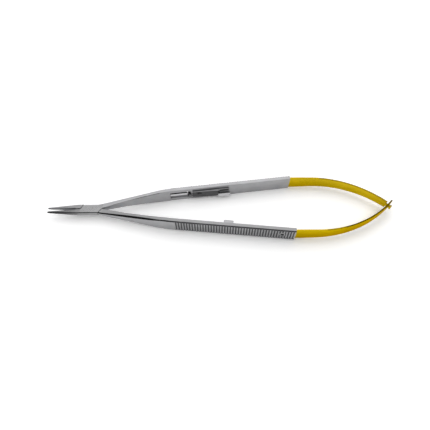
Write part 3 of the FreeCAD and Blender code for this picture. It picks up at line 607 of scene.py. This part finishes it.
@dataclass(kw_only=True)
class Arm(GroundPiece):
    """One arm of the instrument: jaw, box lock, shank and handle plate.

    Every place is a distance from the pin along X, unless it says otherwise.

    Args:
        land: finish of the narrow faces above and below; the near arm's copy is darker, as
            painted shade.
        chamfer: the stretch of its long chamfer that is ground wider.
        lock_reach: ends of the box lock, to both sides of the pin.
        shoulder_reach: as far as the lock's shoulders go, to both sides; their crosswise faces
            get painted shade.
        buffed_end: rear end of the buffed chamfers.
        window: front and rear end of the window.
        window_rise: most height of its walls above and below the pin's middle; those walls get
            painted shade.
        groove_start: front end of the serrations.
        groove_depth: least and most depth of their faces below the outer face; those faces get
            painted shade.
        wide_edge: ends of the upper inner edge that is broken wider.
        rivet_seat: ends of the stretch round the spring rivet's seat, whose
            crowded edges stay as they are.
    """

    land: Metal
    chamfer: WideChamfer
    lock_reach: float = 6 * MM
    shoulder_reach: float = 9 * MM
    buffed_end: float = 36 * MM
    window: tuple[float, float] = (31 * MM, 41 * MM)
    window_rise: float = 1.9 * MM
    groove_start: float = 33 * MM
    groove_depth: tuple[float, float] = (0.08 * MM, 0.34 * MM)
    wide_edge: tuple[float, float] = (9 * MM, 28 * MM)
    rivet_seat: tuple[float, float] = (72 * MM, 79 * MM)

    def finishes(self) -> list[Metal]:
        """List the arm's finishes, the main one first."""
        return [self.finish, LOCK_STEEL, EDGE_STEEL, RECESS_SHADE, self.land,
                SHADE_BLACK, JAW_STEEL_SHADED, JAW_SIDE_SHADED]

    def reshape(self, mesh: BMesh) -> None:
        """Grind the long chamfer wider."""
        self.chamfer.grind(mesh)

    def is_broken(self, middle: Vector) -> bool:
        """Tell whether an edge lies off the spring rivet's seat, by its middle."""
        first, last = self.rivet_seat
        return not first <= middle.x - self.plan.pin.x <= last

    def is_wide(self, edge: BMEdge) -> bool:
        """Tell whether an edge is the far arm's upper inner one before the window.

        Args:
            edge: a sharp edge of the merged copy.

        Returns:
            True where it is.
        """
        middle = (edge.verts[0].co + edge.verts[1].co) / 2
        first, last = self.wide_edge
        up = max(face.normal.z for face in edge.link_faces)
        front = min(face.normal.y for face in edge.link_faces)
        return (first < middle.x - self.plan.pin.x < last and middle.y > 0
                and up > NEARLY_LEVEL and front < -UPRIGHT)

    def in_groove(self, middle: Vector, normal: Vector) -> bool:
        """Tell whether a face is a wall or the floor of a serration's groove.

        Args:
            middle: the face's middle.
            normal: its normal.

        Returns:
            True where it is.
        """
        if abs(normal.z) >= NEARLY_LEVEL or middle.x - self.plan.pin.x <= self.groove_start:
            return False
        mirrored = Vector((middle.x, abs(middle.y), 0))
        depth = (self.plan.corner() - mirrored).dot(self.plan.outward())
        return self.groove_depth[0] < depth < self.groove_depth[1]

    def in_window(self, middle: Vector, normal: Vector) -> bool:
        """Tell whether a face is a wall of the far arm's window.

        Args:
            middle: the face's middle.
            normal: its normal.

        Returns:
            True where it is.
        """
        first, last = self.window
        return (first < middle.x - self.plan.pin.x < last and middle.y > 0
                and abs(middle.z - self.plan.pin.z) < self.window_rise
                and abs(normal.y) < MOSTLY)

    def finish_of(self, middle: Vector, normal: Vector) -> Metal:
        """Choose the finish of a face by its place on the arm.

        Args:
            middle: the face's middle.
            normal: its normal.

        Returns:
            The finish.
        """
        run = middle.x - self.plan.pin.x
        # Serration grooves get painted shade.
        if self.in_groove(middle, normal):
            return RECESS_SHADE
        # The window's walls get painted shade: black, and dark grey where they face up.
        if self.in_window(middle, normal):
            return RECESS_SHADE if normal.z > LEANING else SHADE_BLACK
        slants = SLANTED < abs(normal.z) < LEVEL and abs(normal.y) > SLANTED
        if slants and run < self.buffed_end:
            return EDGE_STEEL
        # Crosswise faces at the box lock get painted shade, black.
        if abs(normal.x) > MOSTLY and abs(run) < self.shoulder_reach:
            return SHADE_BLACK
        # The near jaw gets painted shade towards its tip.
        if run < -self.lock_reach and middle.y < 0:
            return JAW_SIDE_SHADED if abs(normal.z) < SLANTED else JAW_STEEL_SHADED
        if run < self.lock_reach:
            return LOCK_STEEL
        return self.land if abs(normal.z) > LEVEL else self.finish


@dataclass
class LockLever(GroundPiece):
    """The lock lever: a dark blade with a hook that is as bright as the arms; painted light and
    shade fall on some faces of both.

    Args:
        blade_depth: arm's inner face to where the hook starts.
        top_depth: arm's inner face to where the hook's top gets painted shade.
        leg_run: rear end of the arm to the front end of the hook's leg.
        leg_drop: the pin's middle down to the top of that leg.
    """

    blade_depth: float = 1.0 * MM
    top_depth: float = 1.2 * MM
    leg_run: float = 30.2 * MM
    leg_drop: float = 1.2 * MM

    def finishes(self) -> list[Metal]:
        """List the lever's finishes, the main one first."""
        return [self.finish, HOOK_STEEL, LEVER_LIT_TOP, HOOK_LIT]

    def finish_of(self, middle: Vector, normal: Vector) -> Metal:
        """Choose the finish of a face by its place on the blade or the hook.

        Args:
            middle: the face's middle.
            normal: its normal.

        Returns:
            The finish.
        """
        plan = self.plan
        depth = (plan.corner() - middle).dot(plan.outward()) - plan.arm_thick
        on_leg = (middle.z < plan.pin.z - self.leg_drop
                  and middle.x > plan.on_plate(Half.FAR, self.leg_run, 0).x)
        # The blade's faces that turn up get painted light.
        if depth <= self.blade_depth and not on_leg:
            return LEVER_LIT_TOP if normal.z > LIT else self.finish
        # The top of the hook's lip gets painted shade, dark as the blade.
        if normal.z > NEARLY_LEVEL and depth > self.top_depth:
            return self.finish
        # Hook faces that turn up or back get painted light.
        return HOOK_LIT if max(normal.y, normal.z) > LIT else HOOK_STEEL


@dataclass
class BarSpring(GroundPiece):
    """The lever's bar spring in the window: bright in front, with painted shade above.

    Args:
        dark_rise: height above the pin's middle from which it gets painted shade.
    """

    dark_rise: float = 0.5 * MM

    def finishes(self) -> list[Metal]:
        """List the bar's finishes, the main one first."""
        return [self.finish, SHADE_BLACK]

    def finish_of(self, middle: Vector, normal: Vector) -> Metal:
        """Choose the finish of a face by its height and normal: painted shade above and on top.
        """
        dark = middle.z > self.plan.pin.z + self.dark_rise or normal.z > NEARLY_LEVEL
        return SHADE_BLACK if dark else self.finish


@dataclass
class LeafSpring:
    """A leaf spring: a flat blank with a tang, cut to shape and bent to a curve.

    Args:
        plan: the shared places.
        half: the half that holds its tang.
        end: far end of the longer spring to the end of this one, along X.
        reach: pin to the far end of the longer spring.
        cross_back: from there to where the springs cross.
        depth: outer face of a plate to the middle of its spring.
        radius: radius of the arc behind the straight run.
        thick: thickness of the strip.
        high: height of the strip where it leaves its plate.
        tip_high: height that it tapers to at the reach of the springs.
        taper_run: rear end of the arm to where the taper starts.
        tang: length of the tang inside the arm.
        fold: half the length of the fold at the plate's end.
        edge_round: rounding of the strip's edges.
        step: distance between the lines that the blank is bent at.
        taper_steps: stretches of the tapering edge.
        shade_runs: where painted shade starts on the narrow edges, and where it deepens.
    """

    plan: Plan
    half: Half
    end: float = 0.0
    reach: float = 121.8 * MM
    cross_back: float = 1.7 * MM
    depth: float = 1.03 * MM
    radius: float = 44.0 * MM
    thick: float = 0.6 * MM
    high: float = 6.1 * MM
    tip_high: float = 3.7 * MM
    taper_run: float = 3.0 * MM
    tang: float = 7.5 * MM
    fold: float = 0.4 * MM
    edge_round: float = 0.12 * MM
    step: float = 0.7 * MM
    taper_steps: int = 16
    shade_runs: tuple[float, float] = (12 * MM, 20 * MM)

    @property
    def node(self) -> str:
        """Return the name of the solid that the spring stands for."""
        return "upper_leaf_spring" if self.half is Half.FAR else "lower_leaf_spring"

    def start(self) -> Vector:
        """Return where the strip leaves the plate, about the pin, on the far side."""
        return self.plan.corner() - self.plan.pin - self.plan.outward() * self.depth

    def arc_start(self) -> float:
        """Return the distance from the pin to where the arc starts, along X."""
        fall = self.start().y
        return self.reach - self.cross_back - math.sqrt(fall * (2 * self.radius - fall))

    def run_to(self, x: float, edge: float = 0.0) -> float:
        """Find the length along the strip to a distance from the pin along X.

        Args:
            x: distance from the pin along X.
            edge: distance of the point outwards from the strip's middle.

        Returns:
            The length along the strip's middle from the plate's end.
        """
        flat = self.arc_start()
        if x <= flat:
            return x - self.start().x
        return flat - self.start().x + self.radius * math.asin((x - flat) / (self.radius + edge))

    def last_run(self) -> float:
        """Return the length of the strip outside the plate."""
        return self.run_to(self.reach - self.end, self.thick / 2)

    def half_high(self, x: float) -> float:
        """Return half the height of the strip at a distance from the pin along X."""
        first = self.plan.plate_end + self.taper_run
        share = max(0.0, (x - first) / (self.reach - first))
        return (self.high + (self.tip_high - self.high) * share) / 2

    def edge_line(self, last: float) -> list[tuple[float, float]]:
        """List points of the upper edge, from the tang on.

        Args:
            last: pin to the last point, along X.

        Returns:
            The points, as run along the strip and height.
        """
        first = self.plan.plate_end + self.taper_run
        points = [(-self.tang, self.high / 2)]
        for i in range(self.taper_steps + 1):
            x = first + (last - first) * i / self.taper_steps
            points.append((self.run_to(x), self.half_high(x)))
        return points

    def outline(self) -> list[tuple[float, float]]:
        """Return the upper half of the blank's outline, from the tang to the end."""
        raise NotImplementedError

    def finish_index(self, face: BMFace) -> int:
        """Return a face's finish: painted shade darkens the narrow edges along the arc.

        Args:
            face: a face of the rounded blank, before it is bent.

        Returns:
            The finish's index.
        """
        # Narrow edges get painted shade along the arc, deeper further on.
        run = face.calc_center_median().x
        shade_start, deep_shade_start = self.shade_runs
        if abs(face.normal.z) < LEANING or run < shade_start:
            return 0
        return 1 if run < deep_shade_start else 2

    def pierce(self, mesh: BMesh) -> None:
        """Cut the openings of the flat blank, if it has any."""

    def bend(self, point: Vector) -> Vector:
        """Bend a point of the flat blank.

        Args:
            point: run along the strip, distance outwards from its middle, height.

        Returns:
            The point in the row frame.
        """
        start = self.start()
        flat = self.arc_start() - start.x
        tang = start + self.plan.along() * point.x + self.plan.outward() * point.y
        place = start + Vector((point.x, point.y, 0))
        if point.x > flat:
            turn = (point.x - flat) / self.radius
            way = Vector((math.sin(turn), math.cos(turn), 0))
            place = start + Vector((flat, -self.radius, 0)) + way * (self.radius + point.y)
        share = min(1.0, max(0.0, 0.5 + point.x / (2 * self.fold)))
        place = tang.lerp(place, share)
        place.y *= self.half.side
        return place + self.plan.pin + Vector((0, 0, point.z))

    def blank(self) -> BMesh:
        """Cut the flat blank, with edges wherever it is bent.

        Returns:
            Its mesh, with runs along X.
        """
        mesh = bmesh.new()
        line = self.outline()
        corners = [mesh.verts.new((x, -self.thick / 2, z))
                   for x, z in [(x, -z) for x, z in line] + line[::-1]]
        mesh.faces.new(corners)
        bends = int((self.last_run() + self.tang) / self.step)
        places = [bend * self.step - self.tang for bend in range(1, bends)]
        for place in places + [-self.fold, 0.0, self.fold]:
            cut_across(mesh, place)
        self.pierce(mesh)
        grown = bmesh.ops.extrude_face_region(mesh, geom=mesh.faces[:])
        bmesh.ops.translate(mesh, vec=(0, self.thick, 0),
                            verts=[g for g in grown["geom"] if isinstance(g, BMVert)])
        bmesh.ops.recalc_face_normals(mesh, faces=mesh.faces)
        return mesh

    def build(self) -> Object:
        """Build the spring.

        Returns:
            The piece.
        """
        mesh = self.blank()
        round_off(mesh, sharp_edges(mesh, least=40), self.edge_round, segments=3)
        for face in mesh.faces:
            face.material_index = self.finish_index(face)
        for vert in mesh.verts:
            vert.co = self.bend(vert.co)
        bmesh.ops.recalc_face_normals(mesh, faces=mesh.faces)
        piece = as_object(mesh, self.node + "_bent", [GOLD, GOLD_SHADE, GOLD_DEEP_SHADE], crease=35.0)
        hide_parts(self.node)
        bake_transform(piece)
        return piece


@dataclass
class SlottedSpring(LeafSpring):
    """The longer spring, with a slot at its end.

    Args:
        slot_back: far end of the spring to each end of the slot.
        slot_high: height of the slot.
    """

    slot_back: tuple[float, float] = (2.9 * MM, 0.5 * MM)
    slot_high: float = 1.9 * MM

    def outline(self) -> list[tuple[float, float]]:
        """Return a tapering strip."""
        line = self.edge_line(self.reach)
        return line[:-1] + [(self.last_run(), line[-1][1])]

    def pierce(self, mesh: BMesh) -> None:
        """Cut the slot that the other spring's tongue passes through.

        Args:
            mesh: the flat blank.
        """
        first, last = (self.run_to(self.reach - back) for back in self.slot_back)
        half = self.slot_high / 2
        for place in (first, last):
            cut_across(mesh, place)
        for rise in (-half, half):
            near = [f for f in mesh.faces if first < f.calc_center_median().x < last]
            cut_across(mesh, rise, near, level=True)
        gone = [f for f in mesh.faces if first < f.calc_center_median().x < last
                and abs(f.calc_center_median().z) < half]
        bmesh.ops.delete(mesh, geom=gone, context="FACES")


@dataclass
class TonguedSpring(LeafSpring):
    """The spring that ends in shoulders, a tongue and a T head.

    Args:
        shoulder_back: from the reach of the springs to the shoulders.
        neck_high: height of the tongue.
        head_back: from the reach of the springs to the T head.
        head_high: height of the T head.
    """

    end: float = 0.5 * MM
    shoulder_back: float = 2.4 * MM
    neck_high: float = 1.5 * MM
    head_back: float = 1.2 * MM
    head_high: float = 2.4 * MM

    def finish_index(self, face: BMFace) -> int:
        """Return a face's finish: this spring's narrow edges get only the lighter painted shade.
        """
        return min(1, super().finish_index(face))

    def outline(self) -> list[tuple[float, float]]:
        """Return the tapering strip with its tongue and T head."""
        line = self.edge_line(self.reach - self.shoulder_back)
        shoulder = line[-1][0]
        head = self.run_to(self.reach - self.head_back)
        return line + [(shoulder, self.neck_high / 2), (head, self.neck_high / 2),
                       (head, self.head_high / 2), (self.last_run(), self.head_high / 2)]


@dataclass
class Rivet:
    """A turned rivet set across a handle plate.

    Args:
        plan: the shared places.
        node: the solid that it stands for.
        half: the half that holds it.
        finish: its finish.
        run: rear end of the arm to the rivet.
        steps: facets round the rivet.
    """

    plan: Plan
    node: str
    half: Half
    finish: Metal
    run: float
    steps: int = 48

    def profile(self) -> list[tuple[float, float]]:
        """List the outline's radii and depths below the plate's outer face."""
        raise NotImplementedError

    def in_painted_shade(self, middle: Vector) -> bool:
        """Tell whether a face gets painted shade, by its middle about the rivet's axis."""
        return False

    def build(self) -> Object:
        """Turn the rivet and set it in its plate.

        Returns:
            The piece, riding on its half.
        """
        mesh = bmesh.new()
        line = [mesh.verts.new((r, 0, -depth)) for r, depth in self.profile()]
        for a, b in zip(line, line[1:]):
            mesh.edges.new((a, b))
        bmesh.ops.spin(mesh, geom=mesh.verts[:] + mesh.edges[:], cent=(0, 0, 0),
                       axis=(0, 0, 1), angle=math.tau, steps=self.steps, use_merge=True)
        bmesh.ops.remove_doubles(mesh, verts=mesh.verts, dist=MERGE_GAP)
        bmesh.ops.recalc_face_normals(mesh, faces=mesh.faces)
        for face in mesh.faces:
            face.material_index = int(self.in_painted_shade(face.calc_center_median()))
        out = self.plan.outward()
        out.y *= self.half.side
        turn = Vector((0, 0, 1)).rotation_difference(out).to_matrix().to_4x4()
        place = Matrix.Translation(self.plan.on_plate(self.half, self.run, 0)) @ turn
        bmesh.ops.transform(mesh, matrix=place, verts=mesh.verts)
        piece = as_object(mesh, self.node + "_turned", [self.finish, SHADE_BLACK], crease=30.0)
        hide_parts(self.node)
        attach(piece, self.half.value)
        return piece


@dataclass
class SpringRivet(Rivet):
    """The rivet of a spring's tang, with painted shade in the dish of its sunk head.

    Args:
        shank: radius of the shank.
        head: radius of the head.
        seat: outer face of the plate to the head's seat.
        sunk: outer face of the plate to the head's face.
        lip: chamfer round the head's face.
        dish: depth of the dish.
        dish_wide: radius of the dish at the top, as a share of the head's.
        dish_floor: radius of its floor, as a share of the head's.
    """

    run: float = 5.1 * MM
    shank: float = 0.6 * MM
    head: float = 1.15 * MM
    seat: float = 0.36 * MM
    sunk: float = 0.14 * MM
    lip: float = 0.05 * MM
    dish: float = 0.20 * MM
    dish_wide: float = 0.6
    dish_floor: float = 0.5

    def profile(self) -> list[tuple[float, float]]:
        """List the outline from the shank's inner end to the floor of the dish."""
        thick, low = self.plan.arm_thick, self.sunk + self.dish
        return [(0, thick), (self.shank, thick), (self.shank, self.seat),
                (self.head, self.seat), (self.head, self.sunk + self.lip),
                (self.head - self.lip, self.sunk), (self.head * self.dish_wide, self.sunk),
                (self.head * self.dish_floor, low), (0, low)]

    def in_painted_shade(self, middle: Vector) -> bool:
        """Tell whether a face lies in the dish, which gets painted shade, by its middle."""
        radius = math.hypot(middle.x, middle.y)
        return radius < self.head * self.dish_wide and middle.z > -self.plan.arm_thick / 2


@dataclass
class LeverRivet(Rivet):
    """The rivet that the lock lever swings on, with its head on the blade.

    Args:
        shank: radius of the shank.
        head: radius of the head.
        head_top: radius of the head's flat top.
        head_side: height of the head's straight side.
        head_high: height of the head.
        sunk: outer face of the plate to the shank's outer end.
        blade: thickness of the lever's blade.
        play: play on each side of the blade.
    """

    run: float = 37.9 * MM
    shank: float = 0.55 * MM
    head: float = 0.95 * MM
    head_top: float = 0.76 * MM
    head_side: float = 0.1 * MM
    head_high: float = 0.3 * MM
    sunk: float = 0.3 * MM
    blade: float = 0.59 * MM
    play: float = 0.06 * MM

    def profile(self) -> list[tuple[float, float]]:
        """List the outline from the shank's outer end to the head's top."""
        back = self.plan.arm_thick + self.play + self.blade + self.play
        return [(0, self.sunk), (self.shank, self.sunk), (self.shank, back),
                (self.head, back), (self.head, back + self.head_side),
                (self.head_top, back + self.head_high), (0, back + self.head_high)]


@dataclass
class WindowShadeBlock:
    """Painted shade: a small black block in the rear end of the window, behind the lever's heel.

    Args:
        plan: the shared places.
        start: box-lock pin to its front end, along X.
        end: box-lock pin to its rear end, along X.
        depth: outer face of the plate to the middle of the block.
        thick: its thickness.
        high: its height.
        edge_round: rounding of its edges.
    """

    plan: Plan
    start: float = 38.65 * MM
    end: float = 40.0 * MM
    depth: float = 0.5 * MM
    thick: float = 0.8 * MM
    high: float = 3.6 * MM
    edge_round: float = 0.05 * MM

    def build(self) -> Object:
        """Build the block.

        Returns:
            The piece, riding on the far half.
        """
        middle = (self.start + self.end) / 2
        run = (self.plan.plate_end - middle) / math.cos(self.plan.plate_angle)
        place = Matrix.Translation(self.plan.on_plate(Half.FAR, run, self.depth))
        turn = Matrix.Rotation(self.plan.plate_angle, 4, "Z")
        size = Matrix.Diagonal((self.end - self.start, self.thick, self.high, 1.0))
        mesh = bmesh.new()
        bmesh.ops.create_cube(mesh, size=1.0, matrix=place @ turn @ size)
        round_off(mesh, mesh.edges[:], self.edge_round, segments=2)
        piece = as_object(mesh, "window_shade_block", [SHADE_BLACK], crease=30.0)
        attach(piece, Half.FAR.value)
        return piece


@dataclass(frozen=True)
class SoftLamp:
    """A square lamp that looks at the middle of the instrument.

    Args:
        name: its name in the studio.
        place: where it hangs.
        size: its side.
        power: its power, in watts.
        in_metal: whether metal mirrors it.
    """

    name: str
    place: Vector
    size: float
    power: float
    in_metal: bool = True

    def build(self) -> None:
        """Hang the lamp."""
        lamp = bpy.data.lights.new("studio_" + self.name, "AREA")
        lamp.shape = "SQUARE"
        lamp.size = self.size
        lamp.energy = self.power
        holder = bpy.data.objects.new("studio_" + self.name, lamp)
        bpy.context.scene.collection.objects.link(holder)
        holder.visible_glossy = self.in_metal
        holder.location = self.place
        holder.rotation_euler = (-self.place).to_track_quat("-Z", "Y").to_euler()


@dataclass
class Studio:
    """Pale floor, soft lamps, surroundings and the camera.

    Args:
        pin: the box-lock pin in the row frame.
        floor_size: side of the floor.
        floor_tone: how pale the floor is in diffuse light.
        floor_gain: how much whiter the floor looks to the camera and in metal.
        floor_far: glow of the floor, by the distance from its middle.
        behind: glow of the surroundings, by the direction's part along Y.
        above: the same, by its part along Z, where that is brighter.
        low: share of both that is left, by the part along Z.
        lamps: a large one behind, a weak one left and one in front for the floor.
        lens: focal length for a 36 mm frame.
        camera: the camera's place, from the pin.
        target: what the camera looks at, from the pin.
        roll: turn of the camera about its own axis.
    """

    pin: Vector
    floor_size: float = 6.0
    floor_tone: float = 0.86
    floor_gain: float = 0.41
    floor_far: Fade = Fade(0.3, 1.2, 0.0, 0.5)
    behind: Fade = Fade(-0.45, 0.0, 0.02, 1.0)
    above: Fade = Fade(0.58, 0.86, 0.02, 0.9)
    low: Fade = Fade(0.05, 0.65, 0.25, 1.0)
    lamps: tuple[SoftLamp, ...] = (
        SoftLamp("key", Vector((0.10, 0.60, 0.85)), 1.0, 1.5),
        SoftLamp("fill", Vector((-0.60, -0.05, 0.45)), 0.45, 0.3),
        SoftLamp("front", Vector((-0.05, -0.60, 0.60)), 0.9, 1.3, in_metal=False))
    lens: float = 33.848
    camera: Vector = Vector((49.432, -85.71, 139.98)) * MM
    target: Vector = Vector((49.86, -1.26, -3.4)) * MM
    roll: float = math.radians(-0.56)

    def build(self) -> None:
        """Build the whole studio."""
        self.build_floor()
        self.build_world()
        for lamp in self.lamps:
            lamp.build()
        self.build_camera()
        bpy.context.scene.view_settings.view_transform = "Standard"

    def build_floor(self) -> None:
        """Lay the floor under the instrument."""
        mesh = bmesh.new()
        bmesh.ops.create_grid(mesh, x_segments=1, y_segments=1, size=self.floor_size / 2)
        data = bpy.data.meshes.new("studio_floor")
        mesh.to_mesh(data)
        mesh.free()
        floor = bpy.data.objects.new("studio_floor", data)
        bpy.context.scene.collection.objects.link(floor)
        data.materials.append(self.floor_paper())

    def floor_paper(self) -> Material:
        """Make the floor's pale paper, which keeps the instrument's shadow.

        Returns:
            The material.
        """
        made = bpy.data.materials.new("floor_paper")
        made.use_nodes = True
        tree = made.node_tree
        paper = tree.nodes["Principled BSDF"]
        paper.inputs["Base Color"].default_value = (*[self.floor_tone] * 3, 1.0)
        paper.inputs["Roughness"].default_value = 0.9
        paper.inputs["Specular IOR Level"].default_value = 0.1
        more = tree.nodes.new("ShaderNodeBsdfDiffuse")
        tint = tree.nodes.new("ShaderNodeMix")
        tint.data_type = "RGBA"
        tint.inputs["A"].default_value = (0.0, 0.0, 0.0, 1.0)
        tint.inputs["B"].default_value = (*[self.floor_gain] * 3, 1.0)
        tree.links.new(self.seen_directly(tree), tint.inputs["Factor"])
        tree.links.new(tint.outputs["Result"], more.inputs["Color"])
        away = tree.nodes.new("ShaderNodeVectorMath")
        away.operation = "LENGTH"
        place = tree.nodes.new("ShaderNodeTexCoord").outputs["Object"]
        tree.links.new(place, away.inputs[0])
        far = self.floor_far.follow(tree, away.outputs["Value"])
        glow = tree.nodes.new("ShaderNodeEmission")
        strength = join(tree, "MULTIPLY", far, self.seen_directly(tree))
        tree.links.new(strength, glow.inputs["Strength"])
        whole = paper.outputs["BSDF"]
        for extra in (more.outputs["BSDF"], glow.outputs["Emission"]):
            both = tree.nodes.new("ShaderNodeAddShader")
            tree.links.new(whole, both.inputs[0])
            tree.links.new(extra, both.inputs[1])
            whole = both.outputs["Shader"]
        tree.links.new(whole, tree.nodes["Material Output"].inputs["Surface"])
        return made

    @staticmethod
    def seen_directly(tree: NodeTree) -> NodeSocket:
        """Return a socket that is 1 for camera, glossy and transmission rays.

        Args:
            tree: the floor's node tree.

        Returns:
            The socket.
        """
        path = tree.nodes.new("ShaderNodeLightPath")
        seen = join(tree, "MAXIMUM", path.outputs["Is Camera Ray"],
                    path.outputs["Is Glossy Ray"])
        return join(tree, "MAXIMUM", seen, path.outputs["Is Transmission Ray"])

    def build_world(self) -> None:
        """Surround the scene: bright above and behind, dark low in front."""
        world = bpy.data.worlds.new("studio_surroundings")
        bpy.context.scene.world = world
        world.use_nodes = True
        tree = world.node_tree
        ground = tree.nodes["Background"]
        way = tree.nodes.new("ShaderNodeTexCoord").outputs["Generated"]
        split = tree.nodes.new("ShaderNodeSeparateXYZ")
        tree.links.new(way, split.inputs["Vector"])
        sky = join(tree, "MAXIMUM", self.behind.follow(tree, split.outputs["Y"]),
                   self.above.follow(tree, split.outputs["Z"]))
        glow = join(tree, "MULTIPLY", sky, self.low.follow(tree, split.outputs["Z"]))
        path = tree.nodes.new("ShaderNodeLightPath")
        mix = tree.nodes.new("ShaderNodeMix")
        mix.data_type = "FLOAT"
        tree.links.new(path.outputs["Is Camera Ray"], mix.inputs["Factor"])
        tree.links.new(glow, mix.inputs["A"])
        mix.inputs["B"].default_value = 1.0
        tree.links.new(mix.outputs["Result"], ground.inputs["Strength"])
        ground.inputs["Color"].default_value = (1.0, 1.0, 1.0, 1.0)

    def build_camera(self) -> None:
        """Set up the camera at the photograph's viewing angle."""
        lens = bpy.data.cameras.new("camera")
        lens.lens = self.lens
        lens.sensor_width = 36.0
        lens.clip_start = 0.01
        camera = bpy.data.objects.new("camera", lens)
        bpy.context.scene.collection.objects.link(camera)
        ahead = (self.target - self.camera).normalized()
        right = ahead.cross(Vector((0, 0, 1))).normalized()
        up = right.cross(ahead)
        turned_right = right * math.cos(self.roll) + up * math.sin(self.roll)
        turned_up = up * math.cos(self.roll) - right * math.sin(self.roll)
        pose = Matrix((turned_right, turned_up, -ahead)).transposed().to_4x4()
        pose.translation = self.pin + self.camera
        camera.matrix_world = pose
        bpy.context.scene.camera = camera


def ground_pieces(plan: Plan) -> list[GroundPiece]:
    """List the machined pieces, in the order that they are built in.

    Args:
        plan: the shared places.

    Returns:
        The pieces.
    """
    near, far, fine = Half.NEAR.value, Half.FAR.value, 0.03 * MM
    shank = WideChamfer(plan.pin, first=6 * MM, last=30 * MM, most=0.24 * MM)
    jaw_and_lock = WideChamfer(plan.pin, first=-17 * MM, last=4.4 * MM, most=0.10 * MM)
    return [
        Arm(plan, "lower_arm", near, SATIN_STEEL, fine, land=NEAR_LAND_SHADED, chamfer=shank),
        Arm(plan, "upper_arm", far, SATIN_STEEL, fine, land=FAR_LAND, chamfer=jaw_and_lock),
        GroundPiece(plan, "joint_pin", far, LOCK_STEEL, fine),
        GroundPiece(plan, "upper_jaw_insert", near, CARBIDE, fine),
        GroundPiece(plan, "lower_jaw_insert", far, CARBIDE, fine),
        LockLever(plan, "latch_lever", LATCH_BODY, DARK_STEEL, 0.12 * MM),
        BarSpring(plan, "latch_return_spring", far, BRIGHT_STEEL, 0.2 * MM, segments=4),
        GroundPiece(plan, "catch_hook", near, SATIN_STEEL)]


def formed_pieces(plan: Plan) -> list[WindowShadeBlock | LeafSpring | Rivet]:
    """List the bent and turned pieces, in the order that they are built in.

    Args:
        plan: the shared places.

    Returns:
        The pieces.
    """
    return [
        WindowShadeBlock(plan),
        TonguedSpring(plan, Half.FAR),
        SlottedSpring(plan, Half.NEAR),
        SpringRivet(plan, "upper_spring_rivet", Half.FAR, SATIN_STEEL),
        SpringRivet(plan, "lower_spring_rivet", Half.NEAR, SATIN_STEEL),
        LeverRivet(plan, "latch_pivot_rivet", Half.FAR, DARK_STEEL)]


def main() -> None:
    """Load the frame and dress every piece."""
    logging.basicConfig(level=logging.INFO, format="%(message)s")
    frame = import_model()
    plan = Plan(Vector(frame["joints"][0]["pos_m"]))
    Studio(plan.pin).build()
    made = [piece.build(frame["nodes"]) for piece in ground_pieces(plan)]
    made += [piece.build() for piece in formed_pieces(plan)]
    for piece in made:
        LOG.info("%s: %d faces", piece.name, len(piece.data.polygons))


if __name__ == "__main__":
    main()
